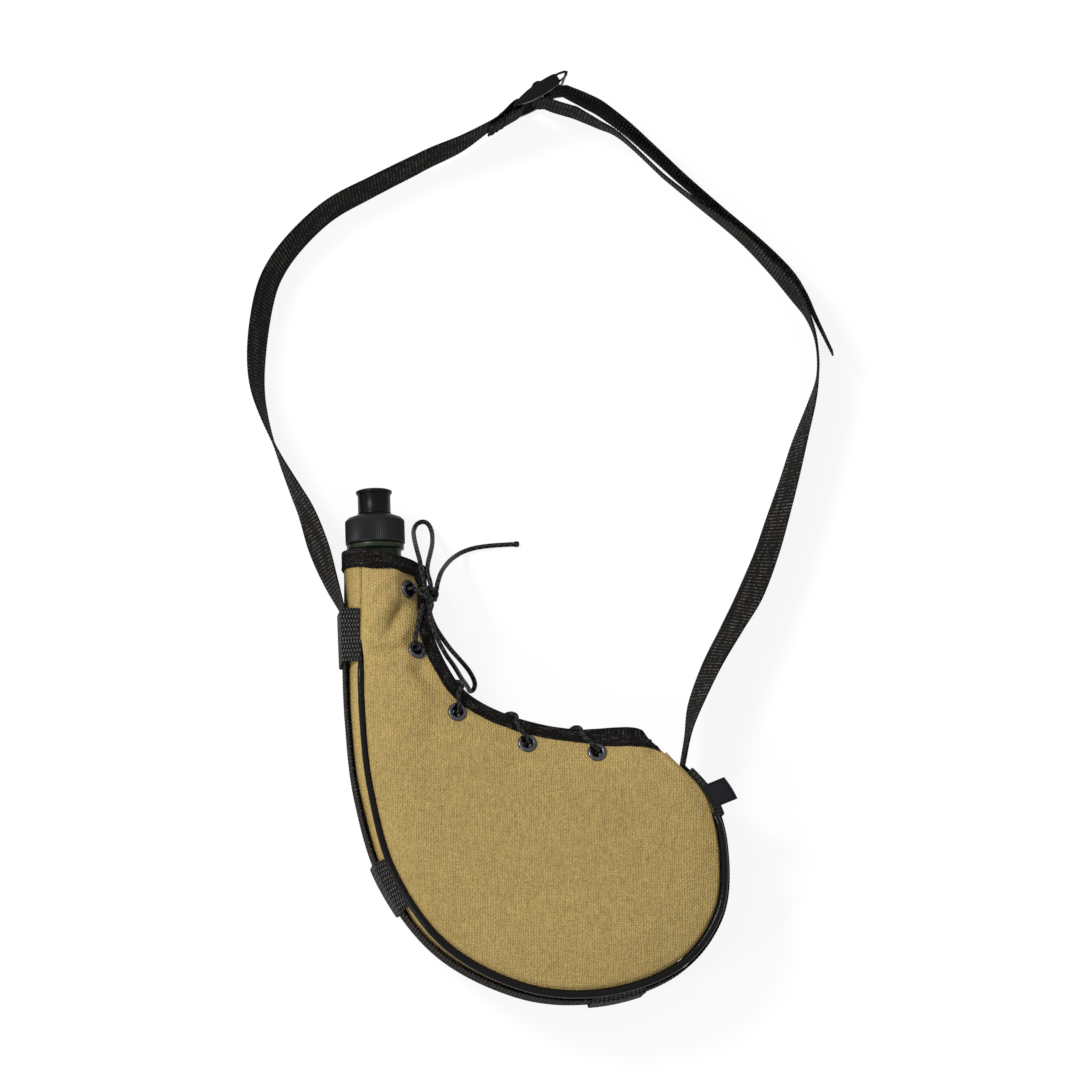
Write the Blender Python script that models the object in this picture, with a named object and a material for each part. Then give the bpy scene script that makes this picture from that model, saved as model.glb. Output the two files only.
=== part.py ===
"""Bota bag lying on its back: plastic bottle in a laced canvas cover, screw cap with a push-pull
spout, and a webbing strap with a ladder-lock buckle.

Sizes are in millimetres until a mesh is written. Seen from above, X runs right and Y runs away
from the reader. The rear panel rests on Z = 0 and the front panel faces up.
"""
import math

import bmesh
import bpy
from mathutils import Matrix, Vector

MM = 0.001

# Fit between pieces
GAP = 0.3

# Cover: one rib every few centimetres, from the mouth (0) round the belly to the corner (13).
# A rib runs from the outer seam line to the laced edge, and the gusset bulges beyond the seam.
SEAM = [Vector(p) for p in (
    (-93.0, 156.8), (-93.2, 131.0), (-93.2, 105.7), (-92.4, 74.0), (-88.0, 36.0), (-76.0, -5.0),
    (-50.0, -40.5), (-10.0, -60.8), (30.0, -62.3), (65.0, -48.7), (84.0, -23.0), (86.5, 8.0),
    (79.5, 33.5), (58.5, 56.5))]
LACED = [Vector(p) for p in (
    (-64.3, 151.0), (-61.9, 131.9), (-56.5, 112.0), (-50.0, 97.0), (-42.5, 86.5), (-32.0, 79.0),
    (-18.0, 73.0), (-3.0, 69.0), (12.0, 66.8), (24.0, 65.8), (34.0, 65.2), (42.0, 64.4),
    (47.5, 63.0), (52.0, 60.6))]
BULGE = [7.8, 7.0, 6.0, 5.3, 5.0, 4.0, 2.6, 1.6, 1.6, 2.0, 2.5, 2.5, 2.2, 2.0]
LAST_RIB = len(SEAM) - 1
COVER_DEPTH = 48.0
MIDDLE = COVER_DEPTH / 2
CANVAS = 1.0
SEAM_DROP = 3.5
SEAM_SLOPE = 30.0
LACED_SLOPE = 35.0
LACED_DROP = {"front": 7.0, "rear": 10.0}
MOUTH_DEPTH = 35.4
MOUTH_CENTRE = 10.0
MOUTH_REACH = 20.0
NECK_RIBS = 3.2
REAR_FLARE = {"mouth": 4.0, "corner": 6.0}

# Trim on the cover
PIPING = 2.8
PIPING_RIBS = (2.22, 11.6)
TAPE = 0.8
TAPE_LEG = 6.2
TAPE_LIFT = 0.8
MOUTH_TAPE_RIB = 0.34
EYELET_RIBS = {1: 0.72, 2: 2.2, 3: 4.35, 4: 6.6, 5: 8.75}
EYELET_FACET = 0.3
STATION_STEP = 0.5
NECK_STATION_STEP = 0.25
EYELET_FLANGE = 9.5
EYELET_HOLE = 4.6
EYELET_BARREL = 5.8
EYELET_LIP = 7.2
EYELET_RIM = 1.0
WASHER_OUTER = 8.6
WASHER = 0.5
LACE = 2.4

# Strap and what holds it
WEBBING = 25.0
WEBBING_THICK = 1.3
KEEPER_RIBS = {1: 1.66, 2: 5.1, 3: 8.13, 4: 12.1}
KEEPER_WIDTH = 26.0
KEEPER_THICK = 1.2
LABEL_RIB = 12.02
LABEL_SIZE = (12.5, 13.0)
LABEL_THICK = 1.2
LABEL_DIRECTION = Vector((0.92, 0.39))
BUCKLE_PLACE = Vector((-4.3, 393.7))
BUCKLE_ANGLE = math.radians(33.5)
BUCKLE_RAIL = 3.3
BUCKLE_SIDE = ((-14.5, 0.7), (-10.0, 1.3), (-4.0, 1.9), (1.0, 2.2), (8.0, 1.9), (13.0, 1.5), (18.5, 0.9))
BUCKLE_FIXED_BAR_END = -10.5
BUCKLE_MIDDLE_BAR = (0.3, 3.7)
BUCKLE_END_BAR = 13.0

# Bow: its knot sits on the front binding beside the first eyelet, and its ends fall to the table.
# Its heights are given for a cover of BOW_DEPTH, and follow the front panel when that is deeper.
BOW_DEPTH = 48.0
KNOT_HEIGHT = 38.5
KNOT = Vector((-59.8, 135.0, KNOT_HEIGHT + COVER_DEPTH - BOW_DEPTH))
KNOT_COIL = 2.6
KNOT_SIDE = Vector((-5.4, 0.6, 0.0))
KNOT_RUN = Vector((0.25, -1.0, 0.0)).normalized()
BOW_STRAND = ((-66.0, 110.8, 45.0), (-64.6, 119.0, 43.8), (-63.2, 125.4, 41.6), (-61.8, 129.2, 40.4))
LOOP_UP = (
    (-61.2, 139.2, 39.8), (-62.6, 145.4, 39.5), (-63.5, 152.0, 37.0), (-64.5, 158.8, 29.5),
    (-64.9, 165.6, 17.5), (-64.6, 171.8, 6.0), (-62.7, 176.0, 1.8), (-59.6, 177.3, 1.6),
    (-56.9, 175.9, 2.0), (-55.4, 170.9, 6.0), (-55.9, 163.7, 16.0), (-57.6, 157.0, 26.0),
    (-59.3, 150.4, 34.0), (-59.6, 145.4, 37.8), (-58.1, 139.3, 38.5))
LOOP_DOWN = (
    (-59.2, 130.2, 36.8), (-58.2, 125.2, 37.0), (-56.0, 119.8, 35.5), (-52.2, 115.2, 29.0),
    (-46.7, 110.3, 18.0), (-41.2, 106.1, 9.0), (-36.3, 101.4, 3.5), (-33.5, 96.3, 1.6),
    (-33.8, 92.8, 1.6), (-35.8, 91.4, 2.6), (-37.8, 93.0, 9.5), (-41.6, 95.6, 21.0),
    (-46.2, 99.8, 34.0), (-50.8, 104.4, 41.8), (-54.8, 111.4, 43.4), (-57.8, 118.4, 43.6),
    (-58.8, 124.8, 43.0), (-57.8, 129.4, 42.2))
TAIL = (
    (-55.6, 136.5, 38.5), (-54.6, 140.6, 37.4), (-52.2, 147.4, 30.0), (-47.9, 154.3, 17.5),
    (-43.6, 159.0, 8.0), (-39.0, 162.3, 2.6), (-33.4, 164.3, 1.6), (-26.8, 165.4, 1.6),
    (-19.2, 166.1, 1.6), (-11.1, 166.6, 1.6))

# Bottle, cap and spout, along the neck's own axis from the cover's mouth
NECK_FOOT = Vector((-84.7, 157.0, MIDDLE))
NECK_LEAN = math.radians(1.9)
WALL = 1.2
NECK_RADIUS = 12.2
NECK_TOP = 16.3
COLLAR_RADIUS = 14.3
COLLAR = (1.9, 4.3)
BOTTLE_MOUTH_RADIUS = 12.8
BOTTLE_SEAM_INSET = 2.0
BOTTLE_LACED_INSET = 8.0
BOTTLE_LAST_RIB = 12.2
BOTTLE_NECK_RIBS = 3.6
THREAD_PITCH = 3.18
THREAD_HEIGHT = 1.1
THREAD_TURNS = 1.5
THREAD_START = 7.4
CAP_RADIUS = 14.85
CAP_RIB = 0.35
CAP_RIBS = 30
CAP_FOOT = 4.7
CAP_TOP = 19.6
CAP_BORE = 13.75
CAP_DISC = 1.7
SEAL = 1.0
SEAL_RADIUS = 13.2
SEAL_BORE = 5.0
POST_RADIUS = 5.6
POST_BORE = 4.0
POST_TOP = 29.0
PIN_RADIUS = 1.7
SPOUT_RADIUS = 8.15
SPOUT_FLARE = 9.1
SPOUT_BORE = 6.0
SPOUT_HOLE = 2.1
SPOUT_TOP = 32.8

# Colour, roughness and metallic value of each finish
FINISHES = {
    "canvas": ((0.43, 0.32, 0.13), 0.9, 0.0),
    "tape": ((0.022, 0.02, 0.019), 0.85, 0.0),
    "piping": ((0.012, 0.011, 0.013), 0.35, 0.0),
    "webbing": ((0.016, 0.015, 0.014), 0.8, 0.0),
    "lace": ((0.012, 0.011, 0.011), 0.7, 0.0),
    "label": ((0.014, 0.014, 0.016), 0.5, 0.0),
    "eyelet": ((0.03, 0.03, 0.032), 0.3, 0.9),
    "bottle": ((0.03, 0.045, 0.025), 0.4, 0.0),
    "cap": ((0.022, 0.022, 0.023), 0.45, 0.0),
    "spout": ((0.014, 0.013, 0.013), 0.4, 0.0),
    "seal": ((0.7, 0.7, 0.68), 0.6, 0.0),
    "buckle": ((0.015, 0.015, 0.015), 0.4, 0.0),
}


def clear_scene():
    for item in list(bpy.data.objects):
        bpy.data.objects.remove(item, do_unlink=True)


def give_material(item, kind):
    colour, roughness, metallic = FINISHES[kind]
    material = bpy.data.materials.new(item.name)
    material.use_nodes = True
    shader = material.node_tree.nodes["Principled BSDF"]
    shader.inputs["Base Color"].default_value = (*colour, 1.0)
    shader.inputs["Roughness"].default_value = roughness
    shader.inputs["Metallic"].default_value = metallic
    item.data.materials.append(material)


def add_object(name, mesh_edit, kind, smooth=40.0):
    """Object from a bmesh drawn in millimetres."""
    bmesh.ops.scale(mesh_edit, vec=(MM, MM, MM), verts=mesh_edit.verts)
    bmesh.ops.recalc_face_normals(mesh_edit, faces=mesh_edit.faces)
    mesh = bpy.data.meshes.new(name)
    mesh_edit.to_mesh(mesh)
    mesh_edit.free()
    mesh.shade_smooth()
    mesh.set_sharp_from_angle(angle=math.radians(smooth))
    item = bpy.data.objects.new(name, mesh)
    bpy.context.scene.collection.objects.link(item)
    if kind:
        give_material(item, kind)
    return item


def add_guide(name, mesh_edit):
    """Cutter or added shape that only a Boolean uses."""
    item = add_object(name, mesh_edit, None)
    item.hide_render = True
    item.display_type = "WIRE"
    return item


def combine(item, guide, operation):
    step = item.modifiers.new(guide.name, "BOOLEAN")
    step.object = guide
    step.operation = operation
    step.solver = "EXACT"


def ease(share):
    share = min(max(share, 0.0), 1.0)
    return share * share * (3 - 2 * share)


def along(values, t):
    """Smooth curve through evenly numbered values."""
    last = len(values) - 1
    i = min(max(int(t), 0), last - 1)
    f = t - i
    a, b = values[i], values[i + 1]
    before = values[i - 1] if i > 0 else a * 2 - b
    after = values[i + 2] if i + 2 <= last else b * 2 - a
    slope = (b - before) * 0.5
    next_slope = (after - a) * 0.5
    return (a * (2 * f ** 3 - 3 * f ** 2 + 1) + slope * (f ** 3 - 2 * f ** 2 + f)
            + b * (3 * f ** 2 - 2 * f ** 3) + next_slope * (f ** 3 - f ** 2))


STEP = 0.01


def seam(t, inward=0.0):
    """Plan point at a distance inside the outer seam line."""
    run = (along(SEAM, t + STEP) - along(SEAM, t - STEP)).normalized()
    return along(SEAM, t) + Vector((-run.y, run.x)) * inward


def laced(t, inward=0.0):
    """Plan point at a distance inside the laced edge."""
    run = (along(LACED, t + STEP) - along(LACED, t - STEP)).normalized()
    return along(LACED, t) + Vector((run.y, -run.x)) * inward


def rear_flare(t):
    near_mouth = 1 - ease(t / 2.5)
    near_corner = ease((t - LAST_RIB + 2.5) / 2.5)
    return REAR_FLARE["mouth"] * near_mouth + REAR_FLARE["corner"] * near_corner


def flare(side, t):
    return rear_flare(t) if side == "rear" else 0.0


def height(side, t, from_seam, from_laced):
    """Height of a panel's outer face above the bag's middle plane."""
    reach = MOUTH_REACH + flare(side, t)
    across = (from_seam - MOUTH_CENTRE) / reach
    tube = MOUTH_DEPTH / 2 * math.sqrt(max(0.0, 1 - across * across))
    near_seam = 1 - min(max(from_seam / SEAM_SLOPE, 0), 1)
    near_laced = 1 - min(max(from_laced / LACED_SLOPE, 0), 1)
    pillow = MIDDLE - math.hypot(SEAM_DROP * near_seam ** 2, LACED_DROP[side] * near_laced ** 2)
    share = ease(t / NECK_RIBS)
    return tube * (1 - share) + pillow * share


def has_piping(t):
    return PIPING_RIBS[0] - 0.4 <= t <= PIPING_RIBS[1] + 0.45


def panel_edge(t):
    """Distance from the seam line to the panel's edge."""
    return PIPING / 2 + GAP + 0.2 if has_piping(t) else GAP


def panel_point(side, t, q):
    start = seam(t, panel_edge(t))
    end = laced(t, -flare(side, t))
    spot = start.lerp(end, q)
    width = (end - seam(t)).length
    from_seam = (spot - seam(t)).length
    rise = height(side, t, from_seam, width - from_seam)
    sign = 1 if side == "front" else -1
    return Vector((spot.x, spot.y, MIDDLE + sign * rise))


def panel_width(side, t):
    return (laced(t, -flare(side, t)) - seam(t, panel_edge(t))).length


def panel_normal(side, t, q):
    low, high = max(q - STEP, 0), min(q + STEP, 1)
    down = panel_point(side, t + STEP, q) - panel_point(side, t - STEP, q)
    across = panel_point(side, t, high) - panel_point(side, t, low)
    normal = down.cross(across).normalized()
    return normal if side == "front" else -normal


def panel_off(side, t, q, rise):
    return panel_point(side, t, q) + panel_normal(side, t, q) * rise


def seam_height(side, t):
    """Height of the seam line above the middle plane."""
    width = (laced(t, -flare(side, t)) - seam(t)).length
    return height(side, t, 0.0, width) - CANVAS / 2


def gusset_margin(t):
    return PIPING / 2 + GAP + 0.2 if has_piping(t) else CANVAS + 0.1


def gusset_point(t, v):
    """Outer face of the gusset: v is -1 at the rear seam and 1 at the front seam."""
    top = MIDDLE + seam_height("front", t) - gusset_margin(t)
    bottom = MIDDLE - seam_height("rear", t) + gusset_margin(t)
    power = 2 + ease(t / NECK_RIBS)
    spot = seam(t, -along(BULGE, t) * (1 - abs(v) ** power))
    return Vector((spot.x, spot.y, (top + bottom) / 2 + v * (top - bottom) / 2))


def gusset_off(t, v, rise):
    down = gusset_point(t + STEP, v) - gusset_point(t - STEP, v)
    up = gusset_point(t, min(v + STEP, 1)) - gusset_point(t, max(v - STEP, -1))
    return gusset_point(t, v) + down.cross(up).normalized() * rise


def grid_faces(edit, rows, closed_across=False):
    verts = [[edit.verts.new(p) for p in row] for row in rows]
    for first, second in zip(verts, verts[1:]):
        count = len(first)
        for j in range(count if closed_across else count - 1):
            k = (j + 1) % count
            edit.faces.new((first[j], second[j], second[k], first[k]))
    return verts


def sheet(name, rows, thickness, kind, offset):
    """Cloth sheet with a thickness, from rows of points on one of its faces or its middle."""
    edit = bmesh.new()
    grid_faces(edit, rows)
    bmesh.ops.scale(edit, vec=(MM, MM, MM), verts=edit.verts)
    mesh = bpy.data.meshes.new(name)
    edit.to_mesh(mesh)
    edit.free()
    mesh.shade_smooth()
    mesh.set_sharp_from_angle(angle=math.radians(40))
    item = bpy.data.objects.new(name, mesh)
    bpy.context.scene.collection.objects.link(item)
    give_material(item, kind)
    thick = item.modifiers.new("Thickness", "SOLIDIFY")
    thick.thickness = thickness * MM
    thick.offset = offset
    thick.use_even_offset = True
    return item


def loft(rows):
    """Closed solid through rings of points, with a flat face on the first and last ring."""
    edit = bmesh.new()
    verts = grid_faces(edit, rows, closed_across=True)
    edit.faces.new(verts[0])
    edit.faces.new(list(reversed(verts[-1])))
    return edit


def turned(profile, steps):
    """Ring turned about Z from a closed profile of radius and height."""
    edit = bmesh.new()
    verts = [edit.verts.new((r, 0, z)) for r, z in profile]
    edges = [edit.edges.new((a, b)) for a, b in zip(verts, verts[1:] + verts[:1])]
    bmesh.ops.spin(edit, geom=verts + edges, cent=(0, 0, 0), axis=(0, 0, 1),
                   angle=math.tau, steps=steps, use_merge=True)
    return edit


def block(low, high):
    edit = bmesh.new()
    bmesh.ops.create_cube(edit, size=1.0)
    size = [b - a for a, b in zip(low, high)]
    middle = [(a + b) / 2 for a, b in zip(low, high)]
    bmesh.ops.scale(edit, vec=size, verts=edit.verts)
    bmesh.ops.translate(edit, vec=middle, verts=edit.verts)
    return edit


def rod(radius, low, high, sides):
    edit = bmesh.new()
    bmesh.ops.create_cone(edit, cap_ends=True, segments=sides, radius1=radius, radius2=radius,
                          depth=high - low, matrix=Matrix.Translation((0, 0, (low + high) / 2)))
    return edit


def tube(name, points, diameter, kind, resolution=2):
    """Round cord along points, with filled ends."""
    curve = bpy.data.curves.new(name, "CURVE")
    curve.dimensions = "3D"
    curve.bevel_depth = diameter / 2 * MM
    curve.bevel_resolution = resolution
    curve.use_fill_caps = True
    spline = curve.splines.new("POLY")
    spline.points.add(len(points) - 1)
    for knot, point in zip(spline.points, points):
        knot.co = (*(point * MM), 1.0)
    item = bpy.data.objects.new(name, curve)
    bpy.context.scene.collection.objects.link(item)
    give_material(item, kind)
    return item


def smooth_route(points, steps):
    """Points read from the smooth curve through a route."""
    last = len(points) - 1
    return [along(points, i / steps) for i in range(last * steps + 1)]


def cover_stations():
    """Ribs shared by everything that lies on the cover: each eyelet is in the middle of a facet."""
    fixed = [0.4]
    for t in EYELET_RIBS.values():
        fixed += [t - EYELET_FACET, t + EYELET_FACET]
    fixed.append(float(LAST_RIB))
    stations = [0.0, MOUTH_TAPE_RIB, fixed[0]]
    for low, high in zip(fixed, fixed[1:]):
        facet = high - low < 2 * EYELET_FACET + 0.01
        step = STATION_STEP if low > 2 else NECK_STATION_STEP
        count = 1 if facet else math.ceil((high - low) / step)
        if high - low > 0.05:
            stations += [low + (high - low) * i / count for i in range(1, count + 1)]
    return stations


STATIONS = cover_stations()
GUSSET_COLUMNS = [-1.0, -0.65, -0.25, 0.25, 0.65, 1.0]


def share_from_edge(side, t, distance):
    """Share of the panel's width that lies at a distance from its laced edge, over the surface."""
    edge = panel_point(side, t, 1.0)
    near, far = 1.0, 0.4
    for _ in range(20):
        middle = (near + far) / 2
        if (panel_point(side, t, middle) - edge).length < distance:
            near = middle
        else:
            far = middle
    return near


# Least shares of the panel's width in the narrow corner
NARROW_TAPE = 0.74
NARROW_INNER = 0.57


def panel_columns(side, t):
    """Shares of the panel's width, with one column under the edge of the binding tape."""
    tape = max(share_from_edge(side, t, TAPE_LEG), NARROW_TAPE)
    inner = max(share_from_edge(side, t, 2.6 * TAPE_LEG), NARROW_INNER)
    return [inner * i / 5 for i in range(6)] + [tape, 1.0]


def panel_rows(side):
    """Points on a panel's outer face, flattened where each eyelet sits."""
    rows = [[panel_point(side, t, q) for q in panel_columns(side, t)] for t in STATIONS]
    for number, t in EYELET_RIBS.items():
        place, _, up = eyelet_axes(side, number)
        for rib in (t - EYELET_FACET, t + EYELET_FACET):
            row = min(range(len(STATIONS)), key=lambda i: abs(STATIONS[i] - rib))
            for column in (-3, -2):
                rows[row][column] -= up * (rows[row][column] - place).dot(up)
    return rows


def make_panel(side):
    rows = panel_rows(side)
    if side == "rear":
        rows = [list(reversed(row)) for row in rows]
    panel = sheet("cover_" + side, rows, CANVAS, "canvas", -1)
    for number, t in EYELET_RIBS.items():
        hole = rod(EYELET_BARREL / 2 + GAP, -6, 4, 12)
        guide = add_guide(f"hole_{side}_{number}", hole)
        guide.matrix_world = eyelet_frame(side, number)
        combine(panel, guide, "DIFFERENCE")


def make_gusset():
    rows = [[gusset_point(t, v) for v in GUSSET_COLUMNS] for t in STATIONS]
    sheet("gusset", rows, CANVAS, "canvas", -1)


def make_piping(side):
    sign = 1 if side == "front" else -1
    first, last = PIPING_RIBS
    count = 36
    points = []
    for i in range(count + 1):
        t = first + (last - first) * i / count
        spot = seam(t)
        points.append(Vector((spot.x, spot.y, MIDDLE + sign * seam_height(side, t))))
    tube("piping_" + side, points, PIPING, "piping")


def tape_profile(leg_out, edge, edge_normal, leg_in, outward):
    """Folded tape from the outer leg round the cloth's edge to the inner leg, on its cloth side."""
    return [leg_out, edge + edge_normal * TAPE_LIFT + outward * 0.1,
            edge + outward * (GAP + 0.35) - edge_normal * CANVAS / 2,
            edge - edge_normal * (CANVAS + TAPE_LIFT) + outward * 0.1, leg_in]


def make_binding(side):
    rows = []
    panel = panel_rows(side)
    sign = 1 if side == "front" else -1
    for i in range(2, len(STATIONS) - 1):
        t = STATIONS[i]
        base, edge = panel[i][-2:]
        run = (panel[i + 1][-1] - panel[i - 1][-1]).normalized()
        outward = edge - base
        outward = (outward - run * outward.dot(run)).normalized()
        normal = run.cross(outward) * sign
        up = panel_normal(side, t, panel_columns(side, t)[-2])
        rows.append(tape_profile(base + up * TAPE_LIFT, edge, normal,
                                 base - up * (CANVAS + TAPE_LIFT), outward))
    if side == "rear":
        rows = [list(reversed(row)) for row in rows]
    sheet("binding_" + side, rows, TAPE, "tape", 1)


def make_mouth_binding():
    lift = TAPE_LIFT
    low = MOUTH_TAPE_RIB
    stops = [("front", q) for q in reversed(panel_columns("front", 0.0))]
    stops += [("gusset", v) for v in reversed(GUSSET_COLUMNS)]
    stops += [("rear", q) for q in panel_columns("rear", 0.0)]
    rows = []
    for place, share in stops:
        if place == "gusset":
            leg_out, leg_in = gusset_off(low, share, lift), gusset_off(low, share, -CANVAS - lift)
            edge = gusset_point(0.0, share)
            below = gusset_point(low, share)
            normal = (gusset_off(0.0, share, 1.0) - edge).normalized()
        else:
            same = panel_columns(place, 0.0).index(share)
            lower = panel_columns(place, low)[same]
            leg_out = panel_off(place, low, lower, lift)
            leg_in = panel_off(place, low, lower, -CANVAS - lift)
            edge = panel_point(place, 0.0, share)
            below = panel_point(place, low, lower)
            normal = panel_normal(place, 0.0, share)
        outward = (edge - below).normalized()
        rows.append(tape_profile(leg_out, edge, normal, leg_in, outward))
    sheet("mouth_binding", rows, TAPE, "tape", -1)


def eyelet_axes(side, number):
    """Middle, direction to the laced edge and upright of the panel facet that an eyelet sits on."""
    t = EYELET_RIBS[number]
    corners = []
    for rib in (t - EYELET_FACET, t + EYELET_FACET):
        inner, tape = panel_columns(side, rib)[-3:-1]
        corners += [panel_point(side, rib, inner), panel_point(side, rib, tape)]
    place = sum(corners, Vector()) / 4
    up = (corners[3] - corners[0]).cross(corners[1] - corners[2]).normalized()
    if (up.z < 0) == (side == "front"):
        up = -up
    across = corners[1] + corners[3] - corners[0] - corners[2]
    across = (across - up * across.dot(up)).normalized()
    return place, across, up


def eyelet_frame(side, number):
    place, across, up = eyelet_axes(side, number)
    turn = Matrix((across, up.cross(across), up)).transposed().to_4x4()
    return Matrix.Translation(place * MM) @ turn


# Heights along an eyelet's axis, from the panel's outer face
EYELET_SAG = 0.4
WASHER_TOP = -CANVAS - GAP - EYELET_SAG
LIP_TOP = WASHER_TOP - WASHER - GAP
LIP_BOTTOM = LIP_TOP - 0.5


def make_eyelet(side, number):
    hole, barrel = EYELET_HOLE / 2, EYELET_BARREL / 2
    flange, lip = EYELET_FLANGE / 2, EYELET_LIP / 2
    top = GAP + EYELET_RIM
    profile = [(hole, LIP_BOTTOM), (lip, LIP_BOTTOM), (lip, LIP_TOP), (barrel, LIP_TOP),
               (barrel, GAP), (flange, GAP), (flange - 1.0, top), (hole, top - 0.3)]
    eyelet = add_object(f"eyelet_{side}_{number}", turned(profile, 12), "eyelet")
    eyelet.matrix_world = eyelet_frame(side, number)
    ring = [(barrel + GAP, WASHER_TOP - WASHER), (WASHER_OUTER / 2, WASHER_TOP - WASHER),
            (WASHER_OUTER / 2, WASHER_TOP), (barrel + GAP, WASHER_TOP)]
    washer = add_object(f"washer_{side}_{number}", turned(ring, 12), "eyelet")
    washer.matrix_world = eyelet_frame(side, number)


def buckle_spot(along_buckle, outward):
    run = Vector((math.cos(BUCKLE_ANGLE), math.sin(BUCKLE_ANGLE)))
    out = Vector((-run.y, run.x))
    return BUCKLE_PLACE + run * along_buckle + out * outward


BUCKLE_HALF = WEBBING / 2 + 0.7 + BUCKLE_RAIL
BUCKLE_HEIGHT = BUCKLE_HALF + GAP

# Strap stops: place seen from above, least height of the webbing's middle, and lean of its
# upper edge towards the inside of the loop, in degrees
STRAP_FOLD = (
    (-29.0, -2.1), (-22.0, -2.1), (-16.0, -2.3), (-12.0, -2.4), (-9.7, -2.0), (-8.8, -1.0), (-8.6, 0.0),
    (-8.8, 1.0), (-9.7, 1.9), (-12.0, 2.3), (-16.0, 1.6), (-22.0, 0.1))
STRAP_LEFT = (
    (-28.3, 377.8, 16.5, -1), (-42.2, 369.2, 15.0, -8), (-62.4, 359.7, 13.0, -12),
    (-87.7, 346.3, 0, -14), (-107.9, 334.6, 0, -16), (-124.4, 318.8, 0, -18),
    (-135.4, 303.2, 0, -21), (-140.9, 287.7, 0, -24), (-144.2, 264.5, 0, -24),
    (-144.1, 244.0, 0, -20), (-139.9, 226.2, 0, -12), (-132.3, 206.8, 0, -2),
    (-120.7, 182.6, 15.5, 12), (-113.3, 161.8, 19.0, 19), (-107.2, 144.0, 22.5, 12))
STRAP_GUSSET_RIBS = (1.1, 12.65)
STRAP_RIGHT = (
    (71.8, 68.0, 23.5, -2), (76.0, 84.0, 22.0, -13), (84.5, 103.9, 19.0, -19),
    (94.6, 122.3, 15.5, -23), (104.5, 140.5, 13.0, -28), (112.8, 161.0, 0, -25),
    (118.5, 179.0, 0, -22), (124.7, 199.5, 0, -17), (130.4, 220.1, 0, -12),
    (136.7, 240.7, 0, -3), (139.8, 256.2, 0, 7), (138.9, 271.6, 0, 8), (134.9, 284.0, 0, 5),
    (128.4, 294.8, 0, -2), (115.7, 309.6, 0, 0), (100.5, 324.9, 0, 2), (79.3, 341.0, 0, 8),
    (59.3, 356.9, 13.0, 10), (39.6, 374.6, 15.0, 9), (27.8, 380.6, 16.4, 5))
STRAP_WEAVE = (
    (12.8, -17.3), (6.2, -9.7), (3.2, -5.6), (0.9, -4.2), (-0.5, -3.0), (-0.8, -1.5), (-0.8, 0.0),
    (-0.8, 2.4), (0.1, 4.0), (2.1, 4.6), (4.1, 4.0), (4.9, 2.4), (4.8, 0.0), (5.1, -1.6),
    (6.6, -2.8), (10.5, -3.4), (14.6, -5.2))
STRAP_TAIL = (
    (22.0, 392.6, 15.6, 3), (31.6, 387.6, 14.2, 3), (50.0, 373.0, 13.0, 1),
    (71.0, 353.8, 0, -1), (90.4, 337.1, 0, -2), (109.7, 321.1, 0, -3), (125.2, 305.9, 0, -3),
    (133.4, 293.9, 0, -5), (139.3, 281.8, 0, -8), (147.3, 265.0, 0, -10))


def strap_stops():
    """Whole strap as stops of place, height and lean, from its sewn end to its free end."""
    def held(spots):
        return [Vector((*buckle_spot(*spot), BUCKLE_HEIGHT, 0.0)) for spot in spots]

    def free(route):
        return [Vector(stop) for stop in route]

    left = held(STRAP_FOLD[-1:]) + free(STRAP_LEFT)
    first, last = STRAP_GUSSET_RIBS
    outside = GAP + WEBBING_THICK / 2
    gusset = []
    count = 40
    for i in range(count + 1):
        t = first + (last - first) * i / count
        spot = seam(t, -along(BULGE, t) - outside)
        gusset.append(Vector((spot.x, spot.y, MIDDLE, 0.0)))
    right = gusset[-1:] + free(STRAP_RIGHT) + held(STRAP_WEAVE[:1])
    tail = held(STRAP_WEAVE[-1:]) + free(STRAP_TAIL)
    stops = held(STRAP_FOLD[:-1])
    stops += smooth_route(left + gusset[:1], 2)[:-1]
    stops += gusset[:-1]
    stops += smooth_route(right, 2)[:-1]
    stops += held(STRAP_WEAVE)[:-1]
    stops += smooth_route(tail, 2)
    return stops


def make_strap():
    rows = []
    stops = strap_stops()
    for i, stop in enumerate(stops):
        ahead = stops[min(i + 1, len(stops) - 1)]
        behind = stops[max(i - 1, 0)]
        lean = math.radians(stop[3])
        middle = Vector((stop.x, stop.y, max(stop.z, WEBBING / 2 * math.cos(lean) + GAP)))
        run = Vector((ahead.x - behind.x, ahead.y - behind.y, 0.0)).normalized()
        side = Vector((0, 0, 1)).cross(run)
        up = Vector((0, 0, 1)) * math.cos(lean) + side * math.sin(lean)
        rows.append([middle - up * WEBBING / 2, middle + up * WEBBING / 2])
    sheet("strap", rows, WEBBING_THICK, "webbing", 0)


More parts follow.
